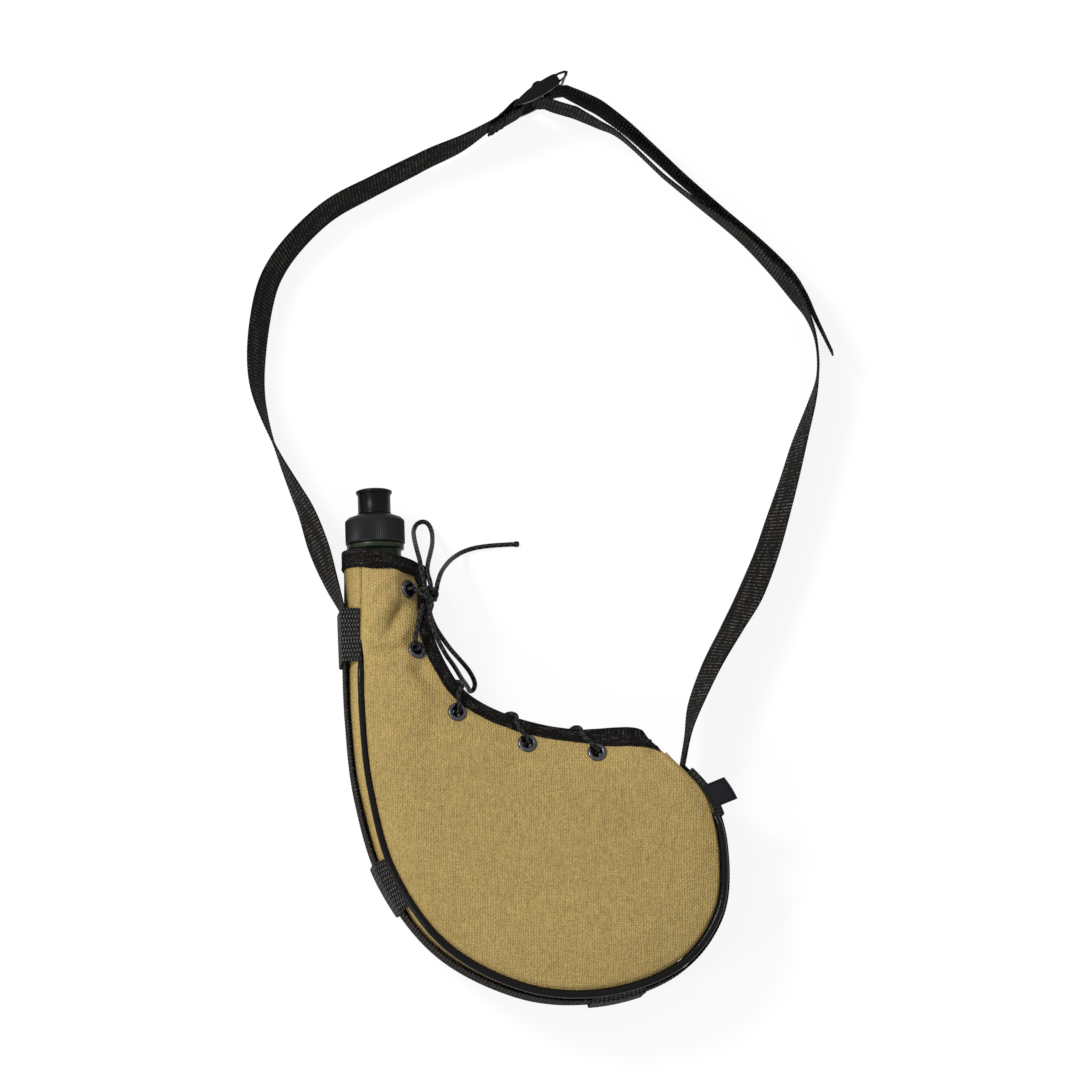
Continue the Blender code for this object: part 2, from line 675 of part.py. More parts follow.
def make_keeper(number):
    t_mid = KEEPER_RIBS[number]
    pace = (along(SEAM, t_mid + STEP) - along(SEAM, t_mid - STEP)).length / (2 * STEP)
    half = KEEPER_WIDTH / 2 / pace
    over = GAP + WEBBING_THICK + GAP + KEEPER_THICK / 2
    rows = []
    for i in range(5):
        t = t_mid + half * (i / 2 - 1)
        low = gusset_point(t, -1.0)
        high = gusset_point(t, 1.0)
        out = along(BULGE, t) + over
        edge = WEBBING / 2 + GAP + KEEPER_THICK / 2
        near = seam(t, -GAP - KEEPER_THICK / 2 - 0.3)
        far, shoulder = seam(t, -out), seam(t, -out + 1.2)
        row = [Vector((near.x, near.y, low.z + 0.6)),
               Vector((shoulder.x, shoulder.y, MIDDLE - edge - 0.9)),
               Vector((far.x, far.y, MIDDLE - edge + 0.6)),
               Vector((far.x, far.y, MIDDLE + edge - 0.6)),
               Vector((shoulder.x, shoulder.y, MIDDLE + edge + 0.9)),
               Vector((near.x, near.y, high.z - 0.6))]
        rows.append(row)
    sheet(f"keeper_{number}", rows, KEEPER_THICK, "webbing", 0)


def make_label():
    pace = (along(SEAM, LABEL_RIB + STEP) - along(SEAM, LABEL_RIB - STEP)).length / (2 * STEP)
    width, reach = LABEL_SIZE
    level = MIDDLE + seam_height("front", LABEL_RIB)
    rows = []
    for i in range(6):
        out = reach * i / 5
        row = []
        for side in (-0.5, 0.5):
            root = seam(LABEL_RIB + side * width / pace, -0.2)
            spot = root + LABEL_DIRECTION * out
            row.append(Vector((spot.x, spot.y, level - 1.2 * (i / 5) ** 2)))
        rows.append(row)
    sheet("label_tab", rows, LABEL_THICK, "label", 0)


def make_buckle():
    side = [(a, n) for a, n in BUCKLE_SIDE] + [(a, -n) for a, n in reversed(BUCKLE_SIDE)]
    rings = [[Vector((a, n, z)) for a, n in side] for z in (-BUCKLE_HALF, BUCKLE_HALF)]
    buckle = add_object("buckle", loft(rings), "buckle", 30.0)
    slot = WEBBING / 2 + 0.7
    windows = ((BUCKLE_FIXED_BAR_END, BUCKLE_MIDDLE_BAR[0]), (BUCKLE_MIDDLE_BAR[1], BUCKLE_END_BAR))
    for number, (low, high) in enumerate(windows):
        guide = add_guide(f"buckle_slot_{number}", block((low, -5, -slot), (high, 5, slot)))
        place_buckle(guide)
        combine(buckle, guide, "DIFFERENCE")
    place_buckle(buckle)


def place_buckle(item):
    place = Vector((BUCKLE_PLACE.x, BUCKLE_PLACE.y, BUCKLE_HEIGHT)) * MM
    item.matrix_world = Matrix.Translation(place) @ Matrix.Rotation(BUCKLE_ANGLE, 4, "Z")


def neck_frame():
    """Local Z runs out of the bottle's mouth and local X to the right."""
    out = Vector((-math.sin(NECK_LEAN), math.cos(NECK_LEAN), 0.0))
    right = Vector((math.cos(NECK_LEAN), math.sin(NECK_LEAN), 0.0))
    turn = Matrix((right, out.cross(right), out)).transposed().to_4x4()
    return Matrix.Translation(NECK_FOOT * MM) @ turn


RING_POINTS = 18


def bottle_ring(t, inset):
    """Section of the bottle's belly at one rib, inset from its outer face."""
    share = ease(t / BOTTLE_NECK_RIBS)
    start = seam(t, BOTTLE_SEAM_INSET + inset)
    end = laced(t, BOTTLE_LACED_INSET + 3 * (1 - ease((t - 1.5) / 3)) + inset)
    width = (end - start).length
    rib = (end - start).normalized()
    neck = Vector((NECK_FOOT.x, along(SEAM, t).y))
    centre = neck.lerp((start + end) / 2, share)
    half = (BOTTLE_MOUTH_RADIUS - inset) * (1 - share) + width / 2 * share
    full = (laced(t) - seam(t)).length
    room = height("front", t, full / 2, full / 2) - CANVAS - 2 * GAP
    lift = (BOTTLE_MOUTH_RADIUS - inset) * (1 - share) + (room - inset) * share
    power = 2 / (2 + 0.6 * share)
    ring = []
    for i in range(RING_POINTS):
        angle = math.tau * i / RING_POINTS
        c, s = math.cos(angle), math.sin(angle)
        x = math.copysign(abs(c) ** power, c) * half
        z = math.copysign(abs(s) ** power, s) * lift
        ring.append(Vector((centre.x + rib.x * x, centre.y + rib.y * x, MIDDLE + z)))
    return ring


def neck_ring(radius, level):
    frame = neck_frame()
    ring = []
    for i in range(RING_POINTS):
        angle = math.tau * i / RING_POINTS
        point = Vector((radius * math.cos(angle), -radius * math.sin(angle), level)) * MM
        ring.append(frame @ point / MM)
    return ring


def shrink(ring, share, back):
    """Smaller copy of the last ring, moved on, that rounds off the bottle's end."""
    middle = sum(ring, Vector()) / len(ring)
    return [middle + (point - middle) * share + back for point in ring]


def helix(radius, crest, start, turns, steps):
    """Thread ridge of a trapezium section about local Z."""
    width = THREAD_PITCH * 0.17
    rings = []
    for i in range(int(turns * steps) + 1):
        angle = math.tau * i / steps
        level = start + THREAD_PITCH * i / steps
        flat = width * 0.5
        profile = ((radius, level - width), (crest, level - flat),
                   (crest, level + flat), (radius, level + width))
        rings.append([Vector((r * math.cos(angle), r * math.sin(angle), z)) for r, z in profile])
    return loft(rings)


def make_bottle():
    count = 16
    ribs = [0.5 + (BOTTLE_LAST_RIB - 0.5) * i / count for i in range(count + 1)]
    outer = [neck_ring(r, z) for r, z in (
        (NECK_RADIUS, NECK_TOP), (NECK_RADIUS, COLLAR[1]), (COLLAR_RADIUS, COLLAR[1] - 0.2),
        (COLLAR_RADIUS, COLLAR[0]), (BOTTLE_MOUTH_RADIUS, COLLAR[0] - 0.8),
        (BOTTLE_MOUTH_RADIUS, -4.0))]
    outer += [bottle_ring(t, 0.0) for t in ribs]
    last = outer[-1]
    on = (seam(ribs[-1] + 0.3, 12) - seam(ribs[-1], 12)).to_3d() * 0.5
    outer += [shrink(last, 0.82, on), shrink(last, 0.45, on * 1.35)]
    inner = [neck_ring(r, z) for r, z in (
        (NECK_RADIUS - WALL, NECK_TOP), (NECK_RADIUS - WALL, COLLAR[0]),
        (BOTTLE_MOUTH_RADIUS - WALL, -4.0))]
    inner += [bottle_ring(t, WALL) for t in ribs]
    tip = inner[-1]
    inner += [shrink(tip, 0.78, on * 0.7), shrink(tip, 0.4, on)]
    edit = loft(list(reversed(outer)) + inner)
    bottle = add_object("bottle", edit, "bottle")
    ridge = helix(NECK_RADIUS - 0.5, NECK_RADIUS + THREAD_HEIGHT, THREAD_START, THREAD_TURNS, 20)
    guide = add_guide("bottle_thread", ridge)
    guide.matrix_world = neck_frame()
    combine(bottle, guide, "UNION")


def make_cap():
    frame = neck_frame()
    foot, top = CAP_FOOT, CAP_TOP
    under = top - CAP_DISC
    rings = []
    for radius, rib, level in ((CAP_RADIUS, 1, foot), (CAP_RADIUS, 1, top - 3.1),
                               (CAP_RADIUS - 1.4, 0, top - 0.7), (CAP_RADIUS - 3.4, 0, top)):
        ring = []
        for i in range(2 * CAP_RIBS):
            angle = math.tau * i / (2 * CAP_RIBS)
            reach = radius - (CAP_RIB * (i % 2) if rib else 0)
            ring.append(Vector((reach * math.cos(angle), reach * math.sin(angle), level)))
        rings.append(ring)
    cap = add_object("cap", loft(rings), "cap")
    cap.matrix_world = frame
    shapes = (
        ("cap_hollow", rod(CAP_BORE, foot - 2, under, 32), "DIFFERENCE"),
        ("cap_post", rod(POST_RADIUS, top - 1.0, POST_TOP, 20), "UNION"),
        ("cap_duct", rod(POST_BORE, under - 2, POST_TOP + 2, 20), "DIFFERENCE"),
        ("cap_thread", helix(CAP_BORE + 0.4, CAP_BORE - THREAD_HEIGHT, THREAD_START + THREAD_PITCH / 2,
                             THREAD_TURNS, 20), "UNION"),
        ("cap_web", block((-POST_BORE - 0.6, -0.7, top), (POST_BORE + 0.6, 0.7, POST_TOP - 1.5)), "UNION"),
        ("cap_pin", rod(PIN_RADIUS, POST_TOP - 4.0, SPOUT_TOP - 0.2, 12), "UNION"),
    )
    for name, edit, operation in shapes:
        guide = add_guide(name, edit)
        guide.matrix_world = frame
        combine(cap, guide, operation)
    base = NECK_TOP + GAP
    ring = [(SEAL_BORE, base), (SEAL_RADIUS, base), (SEAL_RADIUS, base + SEAL), (SEAL_BORE, base + SEAL)]
    seal = add_object("cap_seal", turned(ring, 24), "seal")
    seal.matrix_world = frame


def make_spout():
    foot = CAP_TOP + GAP
    ceiling = POST_TOP + GAP
    profile = [(SPOUT_BORE, foot), (SPOUT_RADIUS + 0.2, foot), (SPOUT_RADIUS, foot + 1.0),
               (SPOUT_RADIUS, SPOUT_TOP - 3.6), (SPOUT_FLARE, SPOUT_TOP - 2.4),
               (SPOUT_FLARE, SPOUT_TOP - 1.2), (SPOUT_RADIUS, SPOUT_TOP - 0.6),
               (SPOUT_HOLE + 1.2, SPOUT_TOP), (SPOUT_HOLE, SPOUT_TOP - 0.3),
               (SPOUT_HOLE, ceiling), (SPOUT_BORE, ceiling)]
    spout = add_object("spout", turned(profile, 24), "spout")
    spout.matrix_world = neck_frame()


def front_hole(side, number, rise, shift=0.0):
    """Point on an eyelet's axis, moved towards the laced edge."""
    place, across, up = eyelet_axes(side, number)
    return place + up * rise + across * shift


def crossing(out_side, out_number, in_side, in_number, depth):
    """Lace from outside one eyelet, over its edge, across the opening and into the other."""
    t_out, t_in = EYELET_RIBS[out_number], EYELET_RIBS[in_number]

    def rib(share):
        return t_out + (t_in - t_out) * share

    over = TAPE_LIFT + TAPE + GAP + LACE / 2
    points = [front_hole(out_side, out_number, 2.7, 1.2)]
    t = rib(0.12)
    width = panel_width(out_side, t)
    points.append(panel_off(out_side, t, 1 - 4.5 / width, over + 0.4))
    t = rib(0.2)
    edge = panel_point(out_side, t, 1.0)
    normal = panel_normal(out_side, t, 1.0)
    outward = (edge - panel_point(out_side, t, 0.98)).normalized()
    for reach, rise in ((0.6, 3.2), (2.5, 2.8), (3.6, 0.4), (3.4, -2.4)):
        points.append(edge + outward * reach + normal * rise)
    for share, fall, inset in ((0.45, 0.4, 0.0), (0.65, 0.53, 2.0)):
        spot = laced(rib(share), depth + inset)
        start = panel_point(out_side, rib(share), 1.0).z
        end = panel_point(in_side, rib(share), 1.0).z
        points.append(Vector((spot.x, spot.y, start + (end - start) * fall)))
    t = rib(0.84)
    width = panel_width(in_side, t)
    points.append(panel_off(in_side, t, 1 - 3.0 / width, -CANVAS - over - 2.8))
    points.append(front_hole(in_side, in_number, -CANVAS - over - 0.7, 4.2))
    points.append(front_hole(in_side, in_number, LIP_BOTTOM - GAP - LACE / 2 + 0.2, 0.6))
    points.append(front_hole(in_side, in_number, -0.6, 0.0))
    return points


def lacing_route():
    """Lace from the bow down through the eyelets, across the lowest pair and back up to the bow."""
    chain = (("front", 1), ("rear", 2), ("front", 3), ("rear", 4), ("front", 5))
    points = [KNOT + KNOT_SIDE, front_hole("front", 1, 2.4, 2.0), front_hole("front", 1, 1.2, 0.0)]
    for inner, outer in zip(chain, chain[1:]):
        points += list(reversed(crossing(*outer, *inner, 0.6)))
    low, high = LIP_BOTTOM - GAP - LACE / 2, -0.6
    side_in = [front_hole("front", 5, high), front_hole("front", 5, low + 0.2, 0.5),
               front_hole("front", 5, low - 0.9, 3.4)]
    side_out = [front_hole("rear", 5, low - 0.9, 3.4), front_hole("rear", 5, low + 0.2, 0.5),
                front_hole("rear", 5, high)]
    points += side_in + [Vector((*laced(EYELET_RIBS[5], 2.0), MIDDLE))] + side_out
    chain = (("rear", 5), ("front", 4), ("rear", 3), ("front", 2))
    for outer, inner in zip(chain, chain[1:]):
        points += crossing(*outer, *inner, 3.6)
    points += [front_hole("front", 2, 2.4, 0.0), front_hole("front", 2, 3.6, 1.4)]
    points += [bow_point(p) for p in BOW_STRAND]
    return points


def bow_point(point):
    """Bow point moved with the front panel: one on the table stays, one at the knot follows it."""
    x, y, z = point
    share = min(max((z - LACE) / (KNOT_HEIGHT - LACE), 0.0), 1.0)
    return Vector((x, y, z + (COVER_DEPTH - BOW_DEPTH) * share))


def make_lace():
    tube("lacing", smooth_route(lacing_route(), 1), LACE, "lace")
    turns, steps = 1.75, 10
    coil = []
    for i in range(int(turns * steps) + 1):
        angle = math.tau * i / steps
        out = Vector((math.cos(angle), 0.35 * math.sin(angle), math.sin(angle))) * KNOT_COIL
        coil.append(KNOT + out + KNOT_RUN * (LACE + 0.5) * (i / steps - turns / 2))
    tube("lace_knot", coil, LACE, "lace")
    for name, route in (("lace_loop_up", LOOP_UP), ("lace_loop_down", LOOP_DOWN), ("lace_tail", TAIL)):
        tube(name, smooth_route([bow_point(p) for p in route], 2), LACE, "lace")


def main():
    clear_scene()
    make_panel("front")
    make_panel("rear")
    make_gusset()
    for side in ("front", "rear"):
        make_piping(side)
        make_binding(side)
        for number in EYELET_RIBS:
            make_eyelet(side, number)
    make_mouth_binding()
    make_strap()
    for number in KEEPER_RIBS:
        make_keeper(number)
    make_label()
    make_buckle()
    make_bottle()
    make_cap()
    make_spout()
    make_lace()


main()
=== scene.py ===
"""Looks of the bota bag: canvas cover, knitted tape, ribbed webbing, braided lace and moulded
plastic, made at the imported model's own size. Sizes are in millimetres until a mesh is made.
"""

import math

import bmesh
import bpy
from mathutils import Matrix, Vector, noise


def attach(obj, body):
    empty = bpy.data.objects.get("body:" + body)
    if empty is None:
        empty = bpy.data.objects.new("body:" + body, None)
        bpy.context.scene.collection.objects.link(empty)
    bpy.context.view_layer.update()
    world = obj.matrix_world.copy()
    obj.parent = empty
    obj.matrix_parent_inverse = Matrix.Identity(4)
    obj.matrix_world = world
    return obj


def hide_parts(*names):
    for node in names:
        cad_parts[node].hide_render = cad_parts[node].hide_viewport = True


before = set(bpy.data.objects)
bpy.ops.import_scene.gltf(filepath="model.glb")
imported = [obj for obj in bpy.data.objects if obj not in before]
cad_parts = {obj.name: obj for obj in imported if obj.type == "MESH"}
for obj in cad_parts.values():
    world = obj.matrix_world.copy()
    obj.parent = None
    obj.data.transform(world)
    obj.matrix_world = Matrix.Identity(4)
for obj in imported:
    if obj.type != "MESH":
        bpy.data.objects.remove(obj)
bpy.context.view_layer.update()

MM = 0.001

# Camera of the photograph: where it stands and the middle of its picture
CAMERA_PLACE = Vector((-254.5, -326.0, 3025.0))
CAMERA_AIM = Vector((-2.5, 165.0, 25.0))
CAMERA_LENS = 203.36
SENSOR = 36.0

# Cover outline from the mouth (rib 0) round the belly to the corner (rib 13)
SEAM = [Vector(p) for p in (
    (-93.0, 156.8), (-93.2, 131.0), (-93.2, 105.7), (-92.4, 74.0), (-88.0, 36.0), (-76.0, -5.0),
    (-50.0, -40.5), (-10.0, -60.8), (30.0, -62.3), (65.0, -48.7), (84.0, -23.0), (86.5, 8.0),
    (79.5, 33.5), (58.5, 56.5))]
LACED = [Vector(p) for p in (
    (-64.3, 151.0), (-61.9, 131.9), (-56.5, 112.0), (-50.0, 97.0), (-42.5, 86.5), (-32.0, 79.0),
    (-18.0, 73.0), (-3.0, 69.0), (12.0, 66.8), (24.0, 65.8), (34.0, 65.2), (42.0, 64.4),
    (47.5, 63.0), (52.0, 60.6))]
BULGE = [7.8, 7.0, 6.0, 5.3, 5.0, 4.0, 2.6, 1.6, 1.6, 2.0, 2.5, 2.5, 2.2, 2.0]
LAST_RIB = len(SEAM) - 1
MIDDLE = 24.0
CANVAS = 0.9
SEAM_DROP = 3.5
SEAM_SLOPE = 30.0
LACED_SLOPE = 35.0
LACED_DROP = {"front": 7.0, "rear": 10.0}
MOUTH_DEPTH = 35.4
MOUTH_CENTRE = 10.0
MOUTH_REACH = 20.0
NECK_RIBS = 3.2
REAR_FLARE = {"mouth": 4.0, "corner": 6.0}
SIDES = ("front", "rear")
SIGN = {"front": 1, "rear": -1}

# Trim
PIPING = 2.8
PIPING_RIBS = (2.22, 11.6)
TAPE = 0.8
TAPE_LEG = 6.2
TAPE_GAP = 0.15
MOUTH_TAPE_RIB = 0.34
EYELET_RIBS = {1: 0.72, 2: 2.2, 3: 4.35, 4: 6.6, 5: 8.75}
EYELET_FACET = 0.3
EYELET_INNER = 2.6 * TAPE_LEG
EYELET_FLAT = 5.4
EYELET_PULL = 11.0
LACE = 2.4
LACE_GAP = 0.7

# Step along a line when its direction is measured
STEP = 0.01


def ease(share):
    share = min(max(share, 0.0), 1.0)
    return share * share * (3 - 2 * share)


def at(spot, z):
    """Point at a height over a place seen from above."""
    return Vector((spot.x, spot.y, z))


def placed(place, x, y, z):
    """Matrix that moves a shape to a place and turns it to three axes."""
    return Matrix.Translation(place) @ Matrix((x, y, z)).transposed().to_4x4()


def run_at(points, i):
    """Direction of a line at one of its points."""
    return (points[min(i + 1, len(points) - 1)] - points[max(i - 1, 0)]).normalized()


def along(values, t):
    """Smooth curve through evenly numbered values."""
    last = len(values) - 1
    i = min(max(int(t), 0), last - 1)
    f = t - i
    a, b = values[i], values[i + 1]
    before = values[i - 1] if i > 0 else a * 2 - b
    after = values[i + 2] if i + 2 <= last else b * 2 - a
    slope, next_slope = (b - before) * 0.5, (after - a) * 0.5
    return (a * (2 * f ** 3 - 3 * f ** 2 + 1) + slope * (f ** 3 - 2 * f ** 2 + f)
            + b * (3 * f ** 2 - 2 * f ** 3) + next_slope * (f ** 3 - f ** 2))


def seam(t, inward=0.0):
    """Plan point at a distance inside the outer seam line."""
    run = (along(SEAM, t + STEP) - along(SEAM, t - STEP)).normalized()
    return along(SEAM, t) + Vector((-run.y, run.x)) * inward


def seam_pace(t):
    """Millimetres of seam for one rib."""
    return (along(SEAM, t + STEP) - along(SEAM, t - STEP)).length / (2 * STEP)


def laced(t, inward=0.0):
    """Plan point at a distance inside the laced edge."""
    run = (along(LACED, t + STEP) - along(LACED, t - STEP)).normalized()
    return along(LACED, t) + Vector((run.y, -run.x)) * inward


def flare(side, t):
    """How far the rear panel reaches past the front one at its laced edge."""
    if side == "front":
        return 0.0
    near_corner = ease((t - LAST_RIB + 2.5) / 2.5)
    return REAR_FLARE["mouth"] * (1 - ease(t / 2.5)) + REAR_FLARE["corner"] * near_corner


def height(side, t, from_seam, from_laced):
    """Height of a panel's outer face above the bag's middle plane."""
    across = (from_seam - MOUTH_CENTRE) / (MOUTH_REACH + flare(side, t))
    tube = MOUTH_DEPTH / 2 * math.sqrt(max(0.0, 1 - across * across))
    near_seam = 1 - min(max(from_seam / SEAM_SLOPE, 0), 1)
    near_laced = 1 - min(max(from_laced / LACED_SLOPE, 0), 1)
    pillow = MIDDLE - math.hypot(SEAM_DROP * near_seam ** 2, LACED_DROP[side] * near_laced ** 2)
    share = ease(t / NECK_RIBS)
    return tube * (1 - share) + pillow * share


def piping_share(t):
    """1 where piping lies in the seam, 0 where there is none."""
    first, last = PIPING_RIBS
    return ease((t - first + 0.5) / 0.5) * (1 - ease((t - last) / 0.5))


def soft_edge(t):
    """Distance from the seam line to the sewn panel's edge."""
    return 0.25 + (PIPING / 2 - 0.1) * piping_share(t)


def frame_edge(t):
    """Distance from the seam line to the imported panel's edge."""
    return PIPING / 2 + 0.5 if PIPING_RIBS[0] - 0.4 <= t <= PIPING_RIBS[1] + 0.45 else 0.3


def smooth_panel(side, t, q, edge=soft_edge):
    """Point on the even surface of a panel: q is 0 at the seam and 1 at the laced edge."""
    start, end = seam(t, edge(t)), laced(t, -flare(side, t))
    spot = start.lerp(end, q)
    line = seam(t)
    from_seam = (spot - line).length
    rise = height(side, t, from_seam, (end - line).length - from_seam)
    return at(spot, MIDDLE + SIGN[side] * rise)


def panel_width(side, t, edge=frame_edge):
    return (laced(t, -flare(side, t)) - seam(t, edge(t))).length


def panel_normal(side, t, q):
    low, high = max(q - STEP, 0), min(q + STEP, 1)
    down = smooth_panel(side, t + STEP, q) - smooth_panel(side, t - STEP, q)
    across = smooth_panel(side, t, high) - smooth_panel(side, t, low)
    return down.cross(across).normalized() * SIGN[side]


def panel_off(side, t, q, rise):
    return smooth_panel(side, t, q, frame_edge) + panel_normal(side, t, q) * rise


def seam_height(side, t):
    width = (laced(t, -flare(side, t)) - seam(t)).length
    return height(side, t, 0.0, width) - 0.5


def share_from_edge(side, t, distance, edge=frame_edge):
    """Share of a panel's width at a distance from its laced edge, over the surface."""
    end = smooth_panel(side, t, 1.0, edge)
    near, far = 1.0, 0.4
    for _ in range(20):
        middle = (near + far) / 2
        if (smooth_panel(side, t, middle, edge) - end).length < distance:
            near = middle
        else:
            far = middle
    return near


def eyelet_axes(side, number):
    """Middle, direction to the laced edge and upright of an eyelet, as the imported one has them."""
    t = EYELET_RIBS[number]
    corners = []
    for rib in (t - EYELET_FACET, t + EYELET_FACET):
        for distance in (EYELET_INNER, TAPE_LEG):
            share = share_from_edge(side, rib, distance)
            corners.append(smooth_panel(side, rib, share, frame_edge))
    place = sum(corners, Vector()) / 4
    up = (corners[3] - corners[0]).cross(corners[1] - corners[2]).normalized()
    if (up.z < 0) == (side == "front"):
        up = -up
    across = corners[1] + corners[3] - corners[0] - corners[2]
    across = (across - up * across.dot(up)).normalized()
    return place, across, up


EYELETS = {(side, number): eyelet_axes(side, number) for side in SIDES for number in EYELET_RIBS}

# Folds in the front panel: two ends seen from above, half width, and height of the crease
FOLDS = (
    ((-69.0, 133.5), (-81.5, 110.5), 3.1, -2.6),
    ((-74.5, 137.0), (-88.0, 119.0), 4.2, 1.2),
    ((-64.5, 124.0), (-74.0, 109.0), 3.6, 0.8),
    ((-75.9, 144.5), (-91.0, 131.0), 3.4, 0.9),
    ((-66.0, 104.8), (-88.0, 106.2), 2.3, -1.9),
    ((-67.0, 109.6), (-84.0, 111.0), 2.6, 0.9),
    ((-66.0, 100.6), (-86.0, 101.2), 3.0, 0.9),
    ((-65.0, 98.0), (-53.0, 81.0), 4.0, -1.5),
    ((-71.0, 96.0), (-59.0, 76.0), 5.0, 0.9),
    ((-57.0, 85.0), (-75.0, 74.0), 6.0, 0.7),
    ((-48.0, 74.0), (-64.0, 56.0), 6.0, -0.8),
    ((-28.0, 64.0), (-40.0, 46.0), 8.0, 0.5),
    ((-14.0, 60.0), (-16.0, 38.0), 7.0, -0.5),
    ((20.0, 57.0), (24.0, 34.0), 8.0, -0.5),
    ((40.0, 56.0), (56.0, 38.0), 7.0, 0.6),
    ((53.0, 57.0), (70.0, 40.0), 4.0, -0.8),
)


def fold_rise(spot):
    """Height that the folds add at a place seen from above."""
    rise = 0.0
    for first, last, width, depth in FOLDS:
        first = Vector(first)
        run = Vector(last) - first
        share = (spot - first).dot(run) / run.length_squared
        away = (spot - first - run * min(max(share, 0.0), 1.0)).length
        if away < 3 * width:
            fade = ease((1.15 - share) / 0.6) * ease((share + 0.35) / 0.4)
            rise += depth * math.exp(-(away / width) ** 2) * fade
    return rise


def cloth_noise(point, scale, seed):
    return noise.noise(Vector((point.x / scale, point.y / scale, point.z / scale + seed)))


def panel_shape(side, point, normal, from_seam, from_laced):
    """Panel point with the sewn edge's roll, folds and the pull round each eyelet."""
    seed = 3.0 if side == "front" else 11.0
    quiet = ease(from_seam / 12) * ease((from_laced - 3) / 10)
    rise = -1.1 * math.exp(-(from_seam / 1.3) ** 2)
    rise += 0.55 * cloth_noise(point, 34.0, seed) * quiet
    rise += 0.16 * cloth_noise(point, 11.0, seed + 5) * ease(from_seam / 5)
    if side == "front":
        fade = ease(from_seam / 6) * ease((from_laced + 1) / 7)
        rise += fold_rise(Vector((point.x, point.y))) * fade
    else:
        rise = min(rise, 0.2)
    point = point + normal * rise
    if side == "rear":
        point.z = max(point.z, 0.15)
    for number in EYELET_RIBS:
        place, _, up = EYELETS[side, number]
        depth = (point - place).dot(up)
        away = (point - place - up * depth).length
        if away < EYELET_PULL and abs(depth) < 4:
            pull = 1 - ease((away - EYELET_FLAT) / (EYELET_PULL - EYELET_FLAT))
            point = point - up * depth * pull
    return point


EDGE_COLUMNS = (0.0, 0.35, 0.7, 1.05, 1.4, 1.8, 2.4, 3.2, 4.2)


def panel_rows(side, steps_per_rib, columns):
    """Rows of points on a panel's outer face, from the seam to the laced edge."""
    rows, distances = [], []
    for i in range(LAST_RIB * steps_per_rib + 1):
        t = i / steps_per_rib
        width, near = panel_width(side, t, soft_edge), EDGE_COLUMNS[-1]
        stops = list(EDGE_COLUMNS)
        stops += [near + (width - near) * k / columns for k in range(1, columns + 1)]
        rows.append([smooth_panel(side, t, stop / width) for stop in stops])
        distances.append([(stop, width - stop) for stop in stops])
    shaped = []
    for i, row in enumerate(rows):
        above, below = rows[max(i - 1, 0)], rows[min(i + 1, len(rows) - 1)]
        new_row = []
        for j, point in enumerate(row):
            across = row[min(j + 1, len(row) - 1)] - row[max(j - 1, 0)]
            normal = (below[j] - above[j]).cross(across).normalized() * SIGN[side]
            new_row.append(panel_shape(side, point, normal, *distances[i][j]))
        shaped.append(new_row)
    return shaped


def gusset_point(t, v):
    """Outer face of the gusset: v is -1 at the rear seam and 1 at the front seam."""
    margin = 0.6 + (PIPING / 2 - 0.5) * piping_share(t)
    top = MIDDLE + seam_height("front", t) - margin
    bottom = MIDDLE - seam_height("rear", t) + margin
    power = 2 + ease(t / NECK_RIBS)
    out = along(BULGE, t) * (1 - abs(v) ** power)
    spot = seam(t, -out)
    return at(spot, (top + bottom) / 2 + v * (top - bottom) / 2)


def gusset_normal(t, v):
    down = gusset_point(t + STEP, v) - gusset_point(t - STEP, v)
    up = gusset_point(t, min(v + STEP, 1)) - gusset_point(t, max(v - STEP, -1))
    return down.cross(up).normalized()


def lengths_along(line):
    total = [0.0]
    for first, second in zip(line, line[1:]):
        total.append(total[-1] + (second.to_3d() - first.to_3d()).length)
    return total


def smooth_route(points, steps):
    """Points read from the smooth curve through a route."""
    last = len(points) - 1
    return [along(points, i / steps) for i in range(last * steps + 1)]


def even_line(points, gap, lengths=None):
    """Points at an even distance along a line, by the lengths to its points."""
    lengths = lengths or lengths_along(points)
    count = max(2, round(lengths[-1] / gap))
    line, j = [], 0
    for i in range(count + 1):
        goal = lengths[-1] * i / count
        while j < len(points) - 2 and lengths[j + 1] < goal:
            j += 1
        span = lengths[j + 1] - lengths[j]
        share = (goal - lengths[j]) / span if span else 0.0
        line.append(points[j].lerp(points[j + 1], min(share, 1.0)))
    return line


# Meshes

def new_shape():
    """Empty shape with a UV map."""
    edit = bmesh.new()
    edit.loops.layers.uv.new("UVMap")
    return edit


def woven_grid(rows, closed=False, around=None, pace=None):
    """Mesh of a grid moved to rows of points, with a UV map in millimetres along and across.

    A closed grid joins its last column to its first. A number for around is the map's width,
    and one for pace its length from row to row.
    """
    if closed:
        rows = [row + row[:1] for row in rows]
    count, columns = len(rows) - 1, len(rows[0]) - 1
    edit = new_shape()
    layer = edit.loops.layers.uv["UVMap"]
    bmesh.ops.create_grid(edit, x_segments=count, y_segments=columns, size=0.5)
    down = [i * pace for i in range(count + 1)] if pace else lengths_along(
        [row[columns // 2] for row in rows])
    across = lengths_along(rows[count // 2])
    if around:
        across = [around * j / columns for j in range(columns + 1)]
    place = {}
    for vert in edit.verts:
        place[vert] = (round((vert.co.x + 0.5) * count), round((vert.co.y + 0.5) * columns))
    for face in edit.faces:
        for loop in face.loops:
            i, j = place[loop.vert]
            loop[layer].uv = (down[i], across[j])
    for vert, (i, j) in place.items():
        vert.co = rows[i][j]
    if closed:
        bmesh.ops.remove_doubles(edit, verts=edit.verts, dist=0.0004)
    return edit


